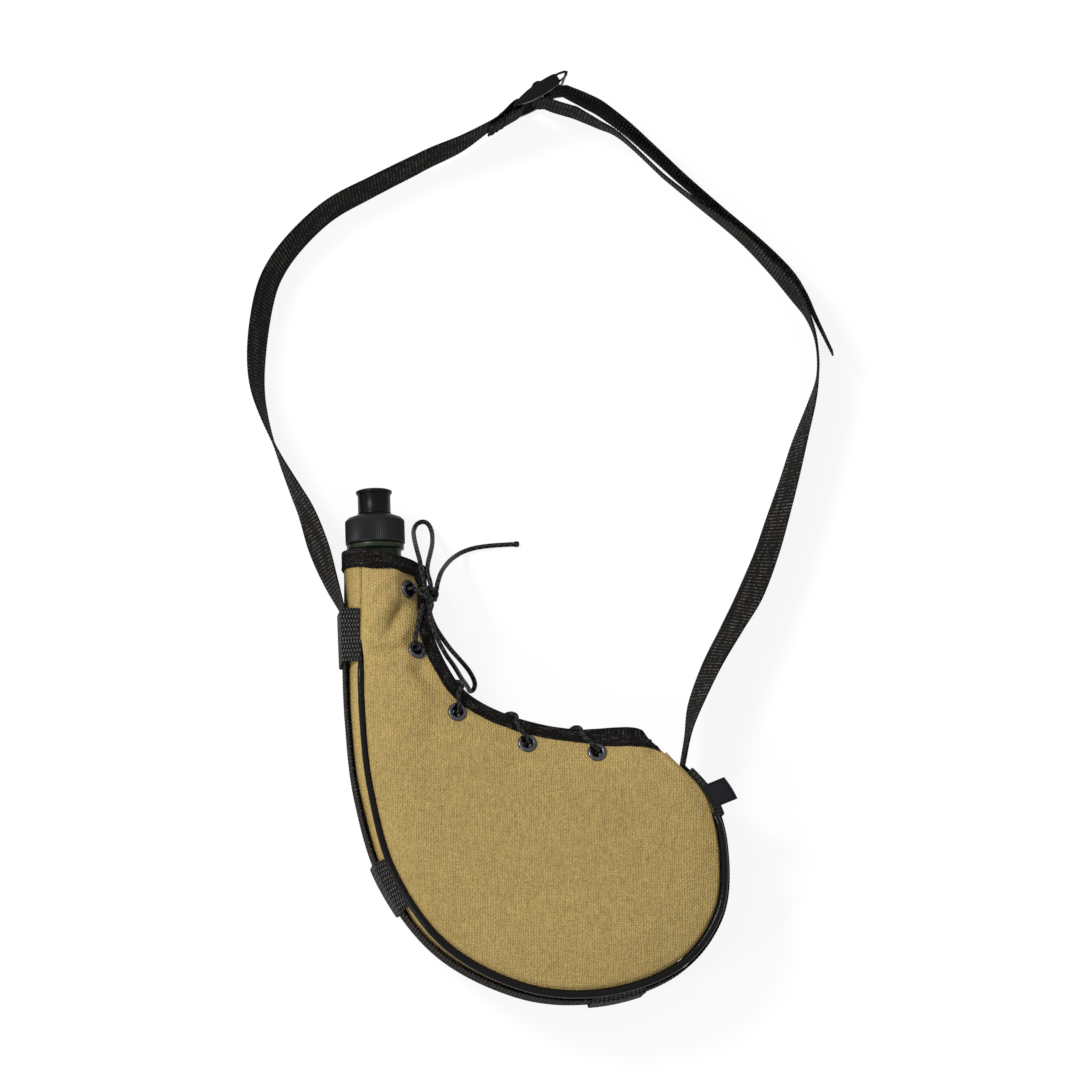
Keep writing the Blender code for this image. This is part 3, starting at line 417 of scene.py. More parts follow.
def close_ends(edit):
    """Fill the open ends and turn every face outwards."""
    open_edges = [edge for edge in edit.edges if edge.is_boundary]
    if open_edges:
        bmesh.ops.holes_fill(edit, edges=open_edges, sides=0)
    bmesh.ops.recalc_face_normals(edit, faces=edit.faces)
    return edit


def turned(profile, steps):
    """Closed ring turned about Z from a closed profile of radius and height."""
    edit = new_shape()
    verts = [edit.verts.new((r, 0, z)) for r, z in profile]
    edges = [edit.edges.new((a, b)) for a, b in zip(verts, verts[1:] + verts[:1])]
    bmesh.ops.spin(edit, geom=verts + edges, cent=(0, 0, 0), axis=(0, 0, 1),
                   angle=math.tau, steps=steps, use_merge=True)
    bmesh.ops.remove_doubles(edit, verts=edit.verts, dist=0.0004)
    bmesh.ops.recalc_face_normals(edit, faces=edit.faces)
    return edit


def rings_along(points, radius, sides):
    """Rings of points round a line; radius is a number or a function of the share along it."""
    size = radius if callable(radius) else lambda share: radius
    upright = Vector((0, 0, 1))
    rings = []
    for i, point in enumerate(points):
        run = run_at(points, i)
        upright = upright - run * upright.dot(run)
        if upright.length < 0.1:
            upright = run.orthogonal()
        upright.normalize()
        beside = run.cross(upright)
        reach = size(i / (len(points) - 1))
        ring = []
        for k in range(sides):
            angle = math.tau * k / sides
            ring.append(point + (upright * math.cos(angle) + beside * math.sin(angle)) * reach)
        rings.append(ring)
    return rings


def round_cord(points, radius, sides):
    return close_ends(woven_grid(rings_along(points, radius, sides), closed=True, around=1.0))


def add_shape(edit, other):
    """Put a second shape into the first."""
    mesh = bpy.data.meshes.new("shape")
    other.to_mesh(mesh)
    other.free()
    edit.from_mesh(mesh)
    bpy.data.meshes.remove(mesh)


def move(edit, matrix):
    bmesh.ops.transform(edit, matrix=matrix, verts=edit.verts)
    return edit


def block(low, high, bevel=0.0):
    edit = new_shape()
    bmesh.ops.create_cube(edit, size=1.0)
    bmesh.ops.scale(edit, vec=[b - a for a, b in zip(low, high)], verts=edit.verts)
    bmesh.ops.translate(edit, vec=[(a + b) / 2 for a, b in zip(low, high)], verts=edit.verts)
    if bevel:
        bmesh.ops.bevel(edit, geom=edit.edges, offset=bevel, offset_type="OFFSET", affect="EDGES",
                        segments=2, profile=0.5, material=-1)
    return edit


def make_piece(name, edit, finish, body, nodes=(), smooth=40.0):
    """Finished piece in metres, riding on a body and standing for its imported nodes."""
    bmesh.ops.scale(edit, vec=(MM, MM, MM), verts=edit.verts)
    mesh = bpy.data.meshes.new(name)
    edit.to_mesh(mesh)
    edit.free()
    mesh.shade_smooth()
    mesh.set_sharp_from_angle(angle=math.radians(smooth))
    piece = bpy.data.objects.new(name, mesh)
    bpy.context.scene.collection.objects.link(piece)
    mesh.materials.append(finish)
    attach(piece, body)
    if nodes:
        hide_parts(*nodes)
    return piece


def thicken(piece, thickness, offset):
    wall = piece.modifiers.new("Thickness", "SOLIDIFY")
    wall.thickness = thickness * MM
    wall.offset = offset


def stitches(places, length=2.3, radius=0.24):
    """Row of thread stitches, each given by its middle, run and upright."""
    edit = new_shape()
    for middle, run, up in places:
        across = up.cross(run).normalized()
        up = run.cross(across).normalized()
        place = placed(middle, run.normalized() * length / 2, across * radius, up * radius)
        bmesh.ops.create_uvsphere(edit, u_segments=6, v_segments=4, radius=1.0,
                                  matrix=place @ Matrix.Rotation(math.pi / 2, 4, "Y"))
    return edit


# Shader maths: an expression on a Value adds its Math nodes

class Value:
    """Shader socket that can stand in an expression."""

    def __init__(self, socket):
        self.socket = socket


def maths(operation, swapped):
    """Method of a Value that adds one Math node."""
    def method(self, other=0.0):
        first, second = (other, self) if swapped else (self, other)
        settings = {"operation": operation}
        node = put(self.socket.id_data, "ShaderNodeMath", settings, {0: first, 1: second})
        return Value(node.outputs[0])
    return method


for method_name, operation, swapped in (
        ("__add__", "ADD", False), ("__radd__", "ADD", True), ("__sub__", "SUBTRACT", False),
        ("__rsub__", "SUBTRACT", True), ("__mul__", "MULTIPLY", False), ("__rmul__", "MULTIPLY", True),
        ("__truediv__", "DIVIDE", False), ("__pow__", "POWER", False),
        ("__mod__", "FLOORED_MODULO", False), ("__gt__", "GREATER_THAN", False),
        ("__abs__", "ABSOLUTE", False), ("sine", "SINE", False), ("lift", "MAXIMUM", False)):
    setattr(Value, method_name, maths(operation, swapped))


def put(tree, kind, settings, values):
    """New shader node: its settings first, then the values or links of its sockets."""
    node = tree.nodes.new(kind)
    for name, value in settings.items():
        setattr(node, name, value)
    for name, value in values.items():
        if isinstance(value, Value):
            tree.links.new(value.socket, node.inputs[name])
        else:
            node.inputs[name].default_value = value
    return node


class Finish:
    """Material of one finish, with its shader."""

    def __init__(self, name, roughness, metallic=0.0, **sockets):
        self.material = bpy.data.materials.new(name)
        self.material.use_nodes = True
        self.tree = self.material.node_tree
        self.shader = self.tree.nodes["Principled BSDF"]
        self.shader.inputs["Roughness"].default_value = roughness
        self.shader.inputs["Metallic"].default_value = metallic
        for socket, value in sockets.items():
            self.shader.inputs[socket.replace("_", " ")].default_value = value

    def node(self, kind, settings, values, output=0):
        return Value(put(self.tree, kind, settings, values).outputs[output])

    def places(self, source):
        """Millimetres in the object ("Object") or along the piece's own map ("UV")."""
        held = self.node("ShaderNodeTexCoord", {}, {}, source)
        split = put(self.tree, "ShaderNodeSeparateXYZ", {}, {0: held})
        scale = 1000.0 if source == "Object" else 1.0
        return [Value(output) * scale for output in split.outputs]

    def grain(self, x, y, z, detail=2.0, roughness=0.5):
        """Noise from 0 to 1 at a place."""
        place = self.node("ShaderNodeCombineXYZ", {}, {0: x, 1: y, 2: z})
        return self.node("ShaderNodeTexNoise", {}, {
            "Vector": place, "Scale": 1.0, "Detail": detail, "Roughness": roughness})

    def mix(self, share, first, second):
        """Colour between two colours."""
        return self.node("ShaderNodeMix", {"data_type": "RGBA"}, {
            0: share, 6: as_colour(first), 7: as_colour(second)}, 2)

    def shade(self, colour, share):
        """Colour times a number that changes over the surface."""
        values = {0: as_vector(colour), 3: share}
        return self.node("ShaderNodeVectorMath", {"operation": "SCALE"}, values)

    def set(self, socket, value):
        if isinstance(value, Value):
            self.tree.links.new(value.socket, self.shader.inputs[socket])
        else:
            self.shader.inputs[socket].default_value = as_colour(value)

    def bump(self, rise, depth, strength=1.0, under=None):
        """Raised surface: a height of 1 stands depth millimetres proud."""
        values = {"Height": rise, "Distance": depth * MM, "Strength": strength}
        if under:
            values["Normal"] = under
        return self.node("ShaderNodeBump", {}, values)

    def relief(self, rise, depth, strength, fine, fine_depth, fine_strength):
        """Raised surface with a finer one on it."""
        under = self.bump(rise, depth, strength)
        self.set("Normal", self.bump(fine, fine_depth, fine_strength, under))


def as_colour(colour):
    return colour if isinstance(colour, Value) else (*colour, 1.0)


def as_vector(colour):
    return colour if isinstance(colour, Value) else tuple(colour)


KHAKI_SHADE = (0.420, 0.284, 0.096)
KHAKI_LIGHT = (0.500, 0.375, 0.148)


def canvas_finish(name, source):
    """Plain weave of slubby cotton: warp runs up the panels and weft across them."""
    cloth = Finish(name, 0.95, Specular_IOR_Level=0.08)
    x, y, z = cloth.places(source)
    if source == "UV":
        x, y = y, x
        z = x * 0.0
    warp_pitch, weft_pitch = 1.2, 1.05
    drift = cloth.grain(x * 0.11, y * 0.05, z * 0.05) - 0.5
    sway = cloth.grain(x * 0.05, y * 0.11, z * 0.11 + 6.0) - 0.5
    warp_place = x + drift * 3.4
    weft_place = y + z * 0.7 + sway * 3.4
    warp = abs((warp_place * (math.pi / warp_pitch)).sine())
    weft = abs((weft_place * (math.pi / weft_pitch)).sine())
    over = ((warp_place / warp_pitch) % 2.0 > 1.0)
    beside = ((weft_place / weft_pitch) % 2.0 > 1.0)
    checker = abs(over - beside)
    knuckle = warp * weft * (0.55 + 0.45 * checker)
    slub_up = cloth.grain(x * 0.85, y * 0.20, z * 0.2, 3.0, 0.6)
    slub_across = cloth.grain(x * 0.12, y * 0.9, z * 0.9 + 9.0, 3.0, 0.6)
    nap = cloth.grain(x * 0.95, y * 0.8, z * 0.8 + 2.0, 2.0, 0.75)
    fibre = cloth.grain(x * 3.1, y * 2.6, z * 2.6, 2.0, 0.7)
    cloud = cloth.grain(x * 0.016, y * 0.016, z * 0.016 + 4.0, 3.0, 0.55)
    # The knuckle term is painted shade: lighter on the weave's crests and darker in the gaps between the
    # yarns. Slubs, nap, fibre and cloud are the cloth's own tone.
    tone = (0.84 + 0.46 * knuckle + 0.62 * (slub_up - 0.5) + 0.18 * (slub_across - 0.5)
            + 0.85 * (nap - 0.5) + 0.35 * (fibre - 0.5) + 0.14 * (cloud - 0.5))
    dusty = cloth.mix(nap, KHAKI_SHADE, KHAKI_LIGHT)
    cloth.set("Base Color", cloth.shade(dusty, tone))
    cloth.relief(knuckle + 1.1 * nap + 0.8 * slub_up, 0.36, 0.9, fibre, 0.08, 0.5)
    return cloth.material


def knit_finish(name, dark, pale, rib):
    """Dark tape: fine ribs across it and pale fibres in the yarn, with painted shade dimming the fibres in
    the gaps between the ribs.
    """
    tape = Finish(name, 0.85, Specular_IOR_Level=0.04)
    u, v, _ = tape.places("UV")
    wander = tape.grain(u * 0.25, v * 0.25, 0.0)
    row = abs((u * (math.pi / rib) + wander * 2.5).sine())
    column = abs((v * (math.pi / (rib * 0.8)) + wander * 2.0).sine())
    fibre = tape.grain(u * 1.15, v * 1.15, 3.0, 3.0, 0.75)
    patch = tape.grain(u * 0.12, v * 0.3, 7.0, 2.0, 0.6)
    speck = (fibre - 0.53 + 0.4 * (patch - 0.5)) * 4.5
    # Painted shade: the row and column factor dims the pale heathered specks in the gaps between the knit
    # ribs; the specks themselves are the yarn's own colour.
    tape.set("Base Color", tape.mix(speck.lift(0.0) * (0.35 + 0.65 * row * column), dark, pale))
    tape.relief(row * 0.6 + column * 0.4, 0.3, 0.9, fibre, 0.25, 0.8)
    return tape.material


def webbing_finish(name):
    """Ribbed webbing: heavy weft ribs and fine warp yarns, with a painted grey highlight on the rib crests
    and pale fibres in the yarn.
    """
    strap = Finish(name, 0.8, Specular_IOR_Level=0.05)
    u, v, _ = strap.places("UV")
    rib = 0.5 + 0.5 * (u * (math.tau / RIB_PITCH) + math.pi / 2).sine()
    yarn_pitch = 0.9
    yarn = abs((v * (math.pi / yarn_pitch)).sine())
    fibre = strap.grain(u * 1.2, v * 1.8, 1.0, 3.0, 0.75)
    patch = strap.grain(u * 0.05, v * 0.16, 5.0, 2.0, 0.6)
    dash = strap.grain(u * 0.55, v * 0.35, 8.0, 2.0, 0.6)
    # Painted highlight: pale grey on the rib crests, broken into patches; the fibre term adds the yarn's own
    # pale fibres.
    share = rib ** 3.0 * (0.5 + 0.5 * yarn) * ((patch - 0.40) * 2.6 + (dash - 0.5) * 3.2).lift(0.05)
    share = share + ((fibre - 0.62) * 1.2).lift(0.0)
    strap.set("Base Color", strap.mix(share, (0.0050, 0.0044, 0.0038), (0.150, 0.138, 0.126)))
    strap.relief(rib * 0.7 + yarn * 0.3, 0.25, 0.8, fibre, 0.14, 0.7)
    return strap.material


def herringbone_finish(name):
    """Keeper webbing woven in a herringbone of short slanting ribs, with a painted highlight on the twill
    crests.
    """
    loop = Finish(name, 0.7, Specular_IOR_Level=0.05)
    u, v, _ = loop.places("UV")
    row_pitch, twill_pitch = 2.2, 1.45
    zigzag = abs((u / row_pitch) % 2.0 - 1.0) * 1.1
    twill = 0.5 + 0.5 * ((v + zigzag) * (math.tau / twill_pitch)).sine()
    step = 0.5 + 0.5 * (u * (math.tau / row_pitch) + math.pi / 2).sine()
    fibre = loop.grain(u * 1.1, v * 1.1, 2.0, 3.0, 0.7)
    # Painted highlight: pale ticks on the twill crests, broken up by fibre noise.
    share = twill ** 3.0 * (0.15 + 0.85 * step) * ((fibre - 0.3) * 2.6).lift(0.0)
    loop.set("Base Color", loop.mix(share, (0.0045, 0.0042, 0.0040), (0.300, 0.290, 0.282)))
    loop.relief(twill * 0.6 + step * 0.4, 0.42, 1.0, fibre, 0.12, 0.5)
    return loop.material


def braid_finish(name):
    """Round braided lace: two sets of strands that cross round the cord, with painted glints on their crests.
    """
    cord = Finish(name, 0.42, Specular_IOR_Level=0.10)
    u, v, _ = cord.places("UV")
    plait_pitch = 3.4
    lean = v * (math.tau * 2)
    one = 0.5 + 0.5 * (u * (math.tau / plait_pitch) + lean).sine()
    other = 0.5 + 0.5 * (u * (math.tau / plait_pitch) - lean).sine()
    strand = one.lift(other)
    fibre = cord.grain(u * 1.2, v * 5.0, 3.0, 2.0, 0.75)
    # Painted highlight: pale glints on the strand crests, broken up by fibre noise.
    share = strand ** 6.0 * ((fibre - 0.38) * 3.0).lift(0.0)
    cord.set("Base Color", cord.mix(share, (0.0042, 0.0038, 0.0038), (0.095, 0.091, 0.093)))
    cord.relief(strand, 0.3, 1.0, fibre, 0.12, 0.6)
    cord.set("Roughness", 0.5 - 0.15 * strand)
    return cord.material


def moulded_finish(name, colour, roughness, speck=0.5, gloss=0.15):
    """Moulded plastic with a fine spark-eroded grain and soft flow marks."""
    shell = Finish(name, roughness, Specular_IOR_Level=gloss)
    x, y, z = shell.places("Object")
    grain = shell.grain(x * 3.2, y * 3.2, z * 3.2, 2.0, 0.6)
    cloud = shell.grain(x * 0.09, y * 0.09, z * 0.09, 3.0, 0.5)
    tone = 0.86 + 0.28 * cloud + 0.22 * speck * (grain - 0.5)
    shell.set("Base Color", shell.shade(colour, tone))
    shell.set("Roughness", roughness - 0.08 + 0.16 * cloud + 0.1 * (grain - 0.5))
    shell.set("Normal", shell.bump(grain, 0.06 * speck + 0.02, 0.5))
    return shell.material


def vinyl_finish(name, colour, roughness):
    """Glossy vinyl over a cord, with shallow puckers from its seam."""
    skin = Finish(name, roughness, Specular_IOR_Level=0.11)
    u, v, _ = skin.places("UV")
    pucker = skin.grain(u * 0.45, v * 3.0, 2.0, 2.0, 0.5)
    fine = skin.grain(u * 2.5, v * 8.0, 5.0, 2.0, 0.6)
    skin.set("Base Color", skin.shade(colour, 0.75 + 0.5 * pucker))
    skin.set("Roughness", roughness - 0.05 + 0.12 * pucker)
    skin.relief(pucker, 0.22, 0.8, fine, 0.05, 0.4)
    return skin.material


def metal_finish(name, colour, roughness):
    """Black-nickelled metal, worn paler where the lace rubs it."""
    metal = Finish(name, roughness, 1.0)
    x, y, z = metal.places("Object")
    cloud = metal.grain(x * 0.6, y * 0.6, z * 0.6, 3.0, 0.6)
    fine = metal.grain(x * 4.0, y * 4.0, z * 4.0, 2.0, 0.6)
    worn = tuple(2.0 * part for part in colour)
    metal.set("Base Color", metal.mix((cloud - 0.35) * 1.6, colour, worn))
    metal.set("Roughness", roughness - 0.06 + 0.16 * cloud)
    metal.set("Normal", metal.bump(fine, 0.03, 0.4))
    return metal.material


def satin_finish(name):
    """Closely woven label ribbon, left plain."""
    label = Finish(name, 0.5, Specular_IOR_Level=0.12)
    u, v, _ = label.places("UV")
    pick_pitch, warp_pitch = 0.42, 0.5
    pick = 0.5 + 0.5 * (u * (math.tau / pick_pitch)).sine()
    warp = abs((v * (math.pi / warp_pitch)).sine())
    fibre = label.grain(u * 2.5, v * 2.5, 1.0, 2.0, 0.7)
    tone = 0.65 + 0.35 * pick + 0.25 * warp + 0.7 * (fibre - 0.45)
    label.set("Base Color", label.shade((0.0085, 0.0088, 0.0115), tone))
    label.set("Normal", label.bump(pick * 0.6 + warp * 0.4, 0.08, 0.6))
    return label.material


# Canvas cover

RIB_STEPS = {"front": 20, "rear": 14}
PANEL_COLUMNS = {"front": 64, "rear": 44}
EYELET_CUT = 3.3
EYELET_SINK = -2.5
EYELET_SIDES = 40

PANELS = {side: panel_rows(side, RIB_STEPS[side], PANEL_COLUMNS[side]) for side in SIDES}


def panel_row(side, t):
    """Shaped row of a panel at any rib."""
    place = min(max(t * RIB_STEPS[side], 0), len(PANELS[side]) - 1)
    i = min(int(place), len(PANELS[side]) - 2)
    return [a.lerp(b, place - i) for a, b in zip(PANELS[side][i], PANELS[side][i + 1])]


def make_panel(side, finish):
    rows = PANELS[side]
    if side == "rear":
        rows = [list(reversed(row)) for row in rows]
    edit = woven_grid(rows)
    cut = []
    for face in edit.faces:
        middle = face.calc_center_median()
        for number in EYELET_RIBS:
            place, _, up = EYELETS[side, number]
            arm = middle - place
            depth = arm.dot(up)
            if abs(depth) < 3 and (arm - up * depth).length < EYELET_CUT:
                cut.append(face)
                break
    bmesh.ops.delete(edit, geom=cut, context="FACES")
    name = "canvas_" + side
    panel = make_piece(name, edit, finish, "bag", ["cover_" + side])
    thicken(panel, CANVAS, -1)
    return panel


GUSSET_STEPS = 16
GUSSET_COLUMNS = 22
PIPING_STEPS = 230
BELLY_RIBS = (3.6, 12.2)


def gusset_shape(t, v):
    """Gusset point with its turned-in edges and soft waves."""
    point, normal = gusset_point(t, v), gusset_normal(t, v)
    edge = 1 - abs(v)
    rise = -0.9 * math.exp(-(edge / 0.05) ** 2)
    rise += 0.45 * cloth_noise(point, 22.0, 21.0) * ease(edge / 0.3)
    rise += 0.12 * cloth_noise(point, 8.0, 25.0) * ease(edge / 0.1)
    return point + normal * min(rise, 0.12)


def make_gusset(finish):
    rows = []
    for i in range(LAST_RIB * GUSSET_STEPS + 1):
        t = i / GUSSET_STEPS
        row = []
        for j in range(GUSSET_COLUMNS + 1):
            share = 2 * j / GUSSET_COLUMNS - 1
            row.append(gusset_shape(t, math.copysign(1 - (1 - abs(share)) ** 1.15, share)))
        rows.append(row)
    edit = woven_grid(rows)
    piece = make_piece("canvas_gusset", edit, finish, "bag", ["gusset"])
    thicken(piece, CANVAS, -1)
    return piece


def fullness(t):
    """How far the piping fills out under the belly, from 0 to 1."""
    first, last = BELLY_RIBS
    return ease((t - first) / 3.0) * ease((last - t) / 1.5)


def make_piping(side, finish):
    first, last = PIPING_RIBS
    points = []
    for i in range(PIPING_STEPS + 1):
        t = first - 0.1 + (last - first + 0.2) * i / PIPING_STEPS
        dive = 1.6 * (1 - ease((t - first + 0.1) / 0.25) * ease((last + 0.1 - t) / 0.25))
        spot = seam(t, dive * 0.3 - 0.35 * fullness(t))
        points.append(at(spot, MIDDLE + SIGN[side] * (seam_height(side, t) - dive)))

    def girth(share):
        t = first + (last - first) * share
        return PIPING / 2 + 0.55 * fullness(t) + 0.06 * noise.noise(Vector((share * 60, 2.0, 5.0)))

    edit = round_cord(points, girth, 14)
    return make_piece("piping_cord_" + side, edit, finish, "bag", ["piping_" + side])


# Knitted tape folded over the cloth's edges

def folded_tape(inner, outer):
    """Closed strip through rows of points on its cloth side and its outer side."""
    rows = [first + list(reversed(second)) for first, second in zip(inner, outer)]
    return close_ends(woven_grid(rows, closed=True))


TAPE_STOPS = (1.0, 0.94, 0.8, 0.6, 0.4, 0.2, 0.0)
TAPE_ENDS = (0.12, LAST_RIB - 0.12)
TAPE_STEPS = 330
FLAP_RIB = 8.2
STITCH_INSET = 1.1
STITCH_RISE = TAPE_GAP + TAPE + 0.02


def tape_section(surface, edge_normal, outward, leg, thickness, flap=0.0, pressed=1.0):
    """Cloth side and outer side of a tape from the outer leg round the edge to the inner leg.

    surface gives the point and normal of the cloth at a distance from its edge, flap is how far
    the fold stands out past that edge, and pressed thins both legs.
    """
    inner, outer = [], []
    for share in TAPE_STOPS:
        point, normal = surface(leg * share)
        fall = max(0.0, (share - 0.88) / 0.12)
        crown = thickness * pressed * (0.55 + 0.45 * math.sqrt(max(0.0, 1 - fall ** 2)))
        inner.append(point + normal * TAPE_GAP)
        outer.append(point + normal * (TAPE_GAP + crown))
    edge = surface(0.0)[0] - edge_normal * CANVAS / 2 + outward * flap
    for k in range(1, 8):
        angle = math.pi / 2 - math.pi * k / 8
        turn = outward * math.cos(angle) * 0.8 + edge_normal * math.sin(angle)
        inner.append(edge + turn * (CANVAS / 2 + TAPE_GAP))
        outer.append(edge + turn * (CANVAS / 2 + TAPE_GAP + thickness))
    for share in reversed(TAPE_STOPS):
        point, normal = surface(leg * share * 0.94)
        low = -CANVAS - TAPE_GAP
        inner.append(point + normal * low)
        outer.append(point + normal * (low - thickness * pressed * (1.0 if share < 0.9 else 0.6)))
    return inner, outer


def make_binding(side, finish):
    """Tape on a laced edge. It gives back the places of its stitches."""
    inner, outer, middles = [], [], []
    first, last = TAPE_ENDS
    sign = SIGN[side]
    for i in range(TAPE_STEPS + 1):
        t = first + (last - first) * i / TAPE_STEPS
        row, above, below = panel_row(side, t), panel_row(side, t - 0.06), panel_row(side, t + 0.06)
        lengths = lengths_along(row)
        total = lengths[-1]
        run = (below[-1] - above[-1]).normalized()

        def surface(distance):
            goal = total - distance
            j = len(lengths) - 2
            while j > 0 and lengths[j] > goal:
                j -= 1
            share = (goal - lengths[j]) / (lengths[j + 1] - lengths[j])
            point = row[j].lerp(row[j + 1], share)
            across = row[j + 1] - row[j]
            normal = run.cross(across).normalized() * sign
            return point, normal

        end_normal = surface(0.0)[1]
        outward = run.cross(end_normal) * -sign
        narrow = min(1.0, 0.27 * total / TAPE_LEG)
        leg = TAPE_LEG * narrow * (1 + 0.05 * noise.noise(Vector((t * 2.1, sign, 3.0))))
        flap = 0.0
        if side == "front":
            leg *= 1 + 0.22 * ease((t - FLAP_RIB) / 1.0)
            spread = min(max((t - FLAP_RIB) / 3.1, 0.0), 1.0)
            flap = 2.4 * (spread + math.sin(math.pi / 2 * spread)) * min(1.0, (last - t) / 1.15)
        pressed = 0.25 + 0.75 * ease((t - 0.36) / 0.1)
        low, high = tape_section(surface, end_normal, outward, leg, TAPE, flap, pressed)
        inner.append(low)
        outer.append(high)
        point, normal = surface(leg - STITCH_INSET)
        if t > 0.44:
            middles.append((point + normal * STITCH_RISE, run, normal))
    edit = folded_tape(inner, outer)
    make_piece("tape_" + side, edit, finish, "bag", ["binding_" + side])
    return middles


def mouth_stops():
    """Stops round the cover's mouth: the front panel, the gusset and the rear panel."""
    return ([("front", 1 - i / 26) for i in range(26)] + [("gusset", 1 - 2 * i / 16) for i in range(17)]
            + [("rear", i / 26) for i in range(1, 27)])


def make_mouth_binding(finish):
    """Tape round the cover's mouth. It gives back the places of its stitches."""
    inner, outer, middles = [], [], []
    stops = mouth_stops()

    def cloth(stop, t):
        place, share = stop
        if place == "gusset":
            return gusset_point(t, share), gusset_normal(t, share)
        return smooth_panel(place, t, share), panel_normal(place, t, share)

    for i, stop in enumerate(stops):
        leg = MOUTH_TAPE_RIB * (1 + 0.05 * math.sin(i * 0.37))
        pace = (cloth(stop, leg)[0] - cloth(stop, 0.0)[0]).length / leg

        def surface(distance):
            return cloth(stop, distance / pace)

        end, normal = surface(0.0)
        outward = (end - cloth(stop, 0.1)[0]).normalized()
        low, high = tape_section(surface, normal, outward, leg * pace, TAPE)
        inner.append(low)
        outer.append(high)
        point, up = surface(leg * pace - STITCH_INSET)
        middles.append((point + up * STITCH_RISE, up))
    line = [middle for middle, _ in middles]
    places = [(line[i], run_at(line, i), up) for i, (_, up) in enumerate(middles)]
    edit = folded_tape(inner, outer)
    make_piece("tape_mouth", edit, finish, "bag", ["mouth_binding"])
    return places


# Eyelets

def make_eyelet(side, number, finish):
    foot = EYELET_SINK
    profile = [(2.3, foot), (3.5, foot), (3.5, foot + 0.45), (2.85, foot + 0.45), (2.85, -0.1),
               (4.55, -0.1), (4.75, 0.12), (4.72, 0.42), (4.5, 0.74), (4.12, 0.98), (3.65, 1.08),
               (3.2, 1.05), (2.8, 0.9), (2.5, 0.62), (2.34, 0.2), (2.3, -0.4)]
    place, across, up = EYELETS[side, number]
    edit = move(turned(profile, EYELET_SIDES), placed(place + up * 0.1, across, up.cross(across), up))
    name = f"grommet_{side}_{number}"
    return make_piece(name, edit, finish, "bag", [f"eyelet_{side}_{number}"], 50.0)


# Strap, keepers, label and buckle

WEBBING = 25.0
WEBBING_THICK = 1.3
KEEPER_RIBS = {1: 1.66, 2: 5.1, 3: 8.13, 4: 12.1}
KEEPER_WIDTH = 26.0
KEEPER_THICK = 1.1
KEEPER_COLUMNS = 40
GAP = 0.3
BUCKLE_PLACE = Vector((-4.3, 393.7))
BUCKLE_ANGLE = math.radians(33.5)
BUCKLE_RAIL = 3.3
BUCKLE_SLOT = WEBBING / 2 + 0.7
BUCKLE_HALF = BUCKLE_SLOT + BUCKLE_RAIL
BUCKLE_HEIGHT = BUCKLE_HALF + GAP
BUCKLE_SIDE = ((-14.5, 0.7), (-10.0, 1.3), (-4.0, 1.9), (1.0, 2.2), (8.0, 1.9), (13.0, 1.5))
BUCKLE_RAILS = ((-14.5, 0.25), (-12.5, 1.0), (-9.0, 2.0), (-5.0, 2.8), (-1.0, 3.2), (3.0, 3.3),
                (7.0, 3.2), (10.0, 3.0), (11.6, 2.7), (12.4, 2.1))
BUCKLE_LIP = ((11.4, 2.3), (14.5, 2.0), (17.2, 1.2), (18.3, 0.0))
BUCKLE_BARS = ((-14.2, -10.5), (0.3, 3.7))
BAR_REACH = BUCKLE_SLOT + 0.6
BUCKLE_BEVEL = 0.3

# Strap stops: place seen from above, least height of its middle, and lean of its upper edge in degrees
STRAP_FOLD = (
    (-29.0, -2.1), (-22.0, -2.1), (-16.0, -2.3), (-12.0, -2.4), (-9.7, -2.0), (-8.8, -1.0), (-8.6, 0.0),
    (-8.8, 1.0), (-9.7, 1.9), (-12.0, 2.3), (-16.0, 1.6), (-22.0, 0.1))
STRAP_LEFT = (
    (-28.3, 377.8, 16.5, -1), (-42.2, 369.2, 15.0, -8), (-62.4, 359.7, 13.0, -12),
    (-87.7, 346.3, 0, -14), (-107.9, 334.6, 0, -16), (-124.4, 318.8, 0, -18),
    (-135.4, 303.2, 0, -21), (-140.9, 287.7, 0, -24), (-144.2, 264.5, 0, -24),
    (-144.1, 244.0, 0, -20), (-139.9, 226.2, 0, -12), (-132.3, 206.8, 0, -2),
    (-120.7, 182.6, 15.5, 12), (-113.3, 161.8, 19.0, 19), (-107.2, 144.0, 22.5, 12))
STRAP_GUSSET_RIBS = (1.1, 12.65)
STRAP_RIGHT = (
    (71.8, 68.0, 23.5, -2), (76.0, 84.0, 22.0, -13), (84.5, 103.9, 19.0, -19),
    (94.6, 122.3, 15.5, -23), (104.5, 140.5, 13.0, -28), (112.8, 161.0, 0, -25),
    (118.5, 179.0, 0, -22), (124.7, 199.5, 0, -17), (130.4, 220.1, 0, -12),
    (136.7, 240.7, 0, -3), (139.8, 256.2, 0, 7), (138.9, 271.6, 0, 8), (134.9, 284.0, 0, 5),
    (128.4, 294.8, 0, -2), (115.7, 309.6, 0, 0), (100.5, 324.9, 0, 2), (79.3, 341.0, 0, 8),
    (59.3, 356.9, 13.0, 10), (39.6, 374.6, 15.0, 9), (27.8, 380.6, 16.4, 5))
STRAP_WEAVE = (
    (12.8, -17.3), (6.2, -9.7), (3.2, -5.6), (0.9, -4.2), (-0.5, -3.0), (-0.8, -1.5), (-0.8, 0.0),
    (-0.8, 2.4), (0.1, 4.0), (2.1, 4.6), (4.1, 4.0), (4.9, 2.4), (4.8, 0.0), (5.1, -1.6),
    (6.6, -2.8), (10.5, -3.4), (14.6, -5.2))
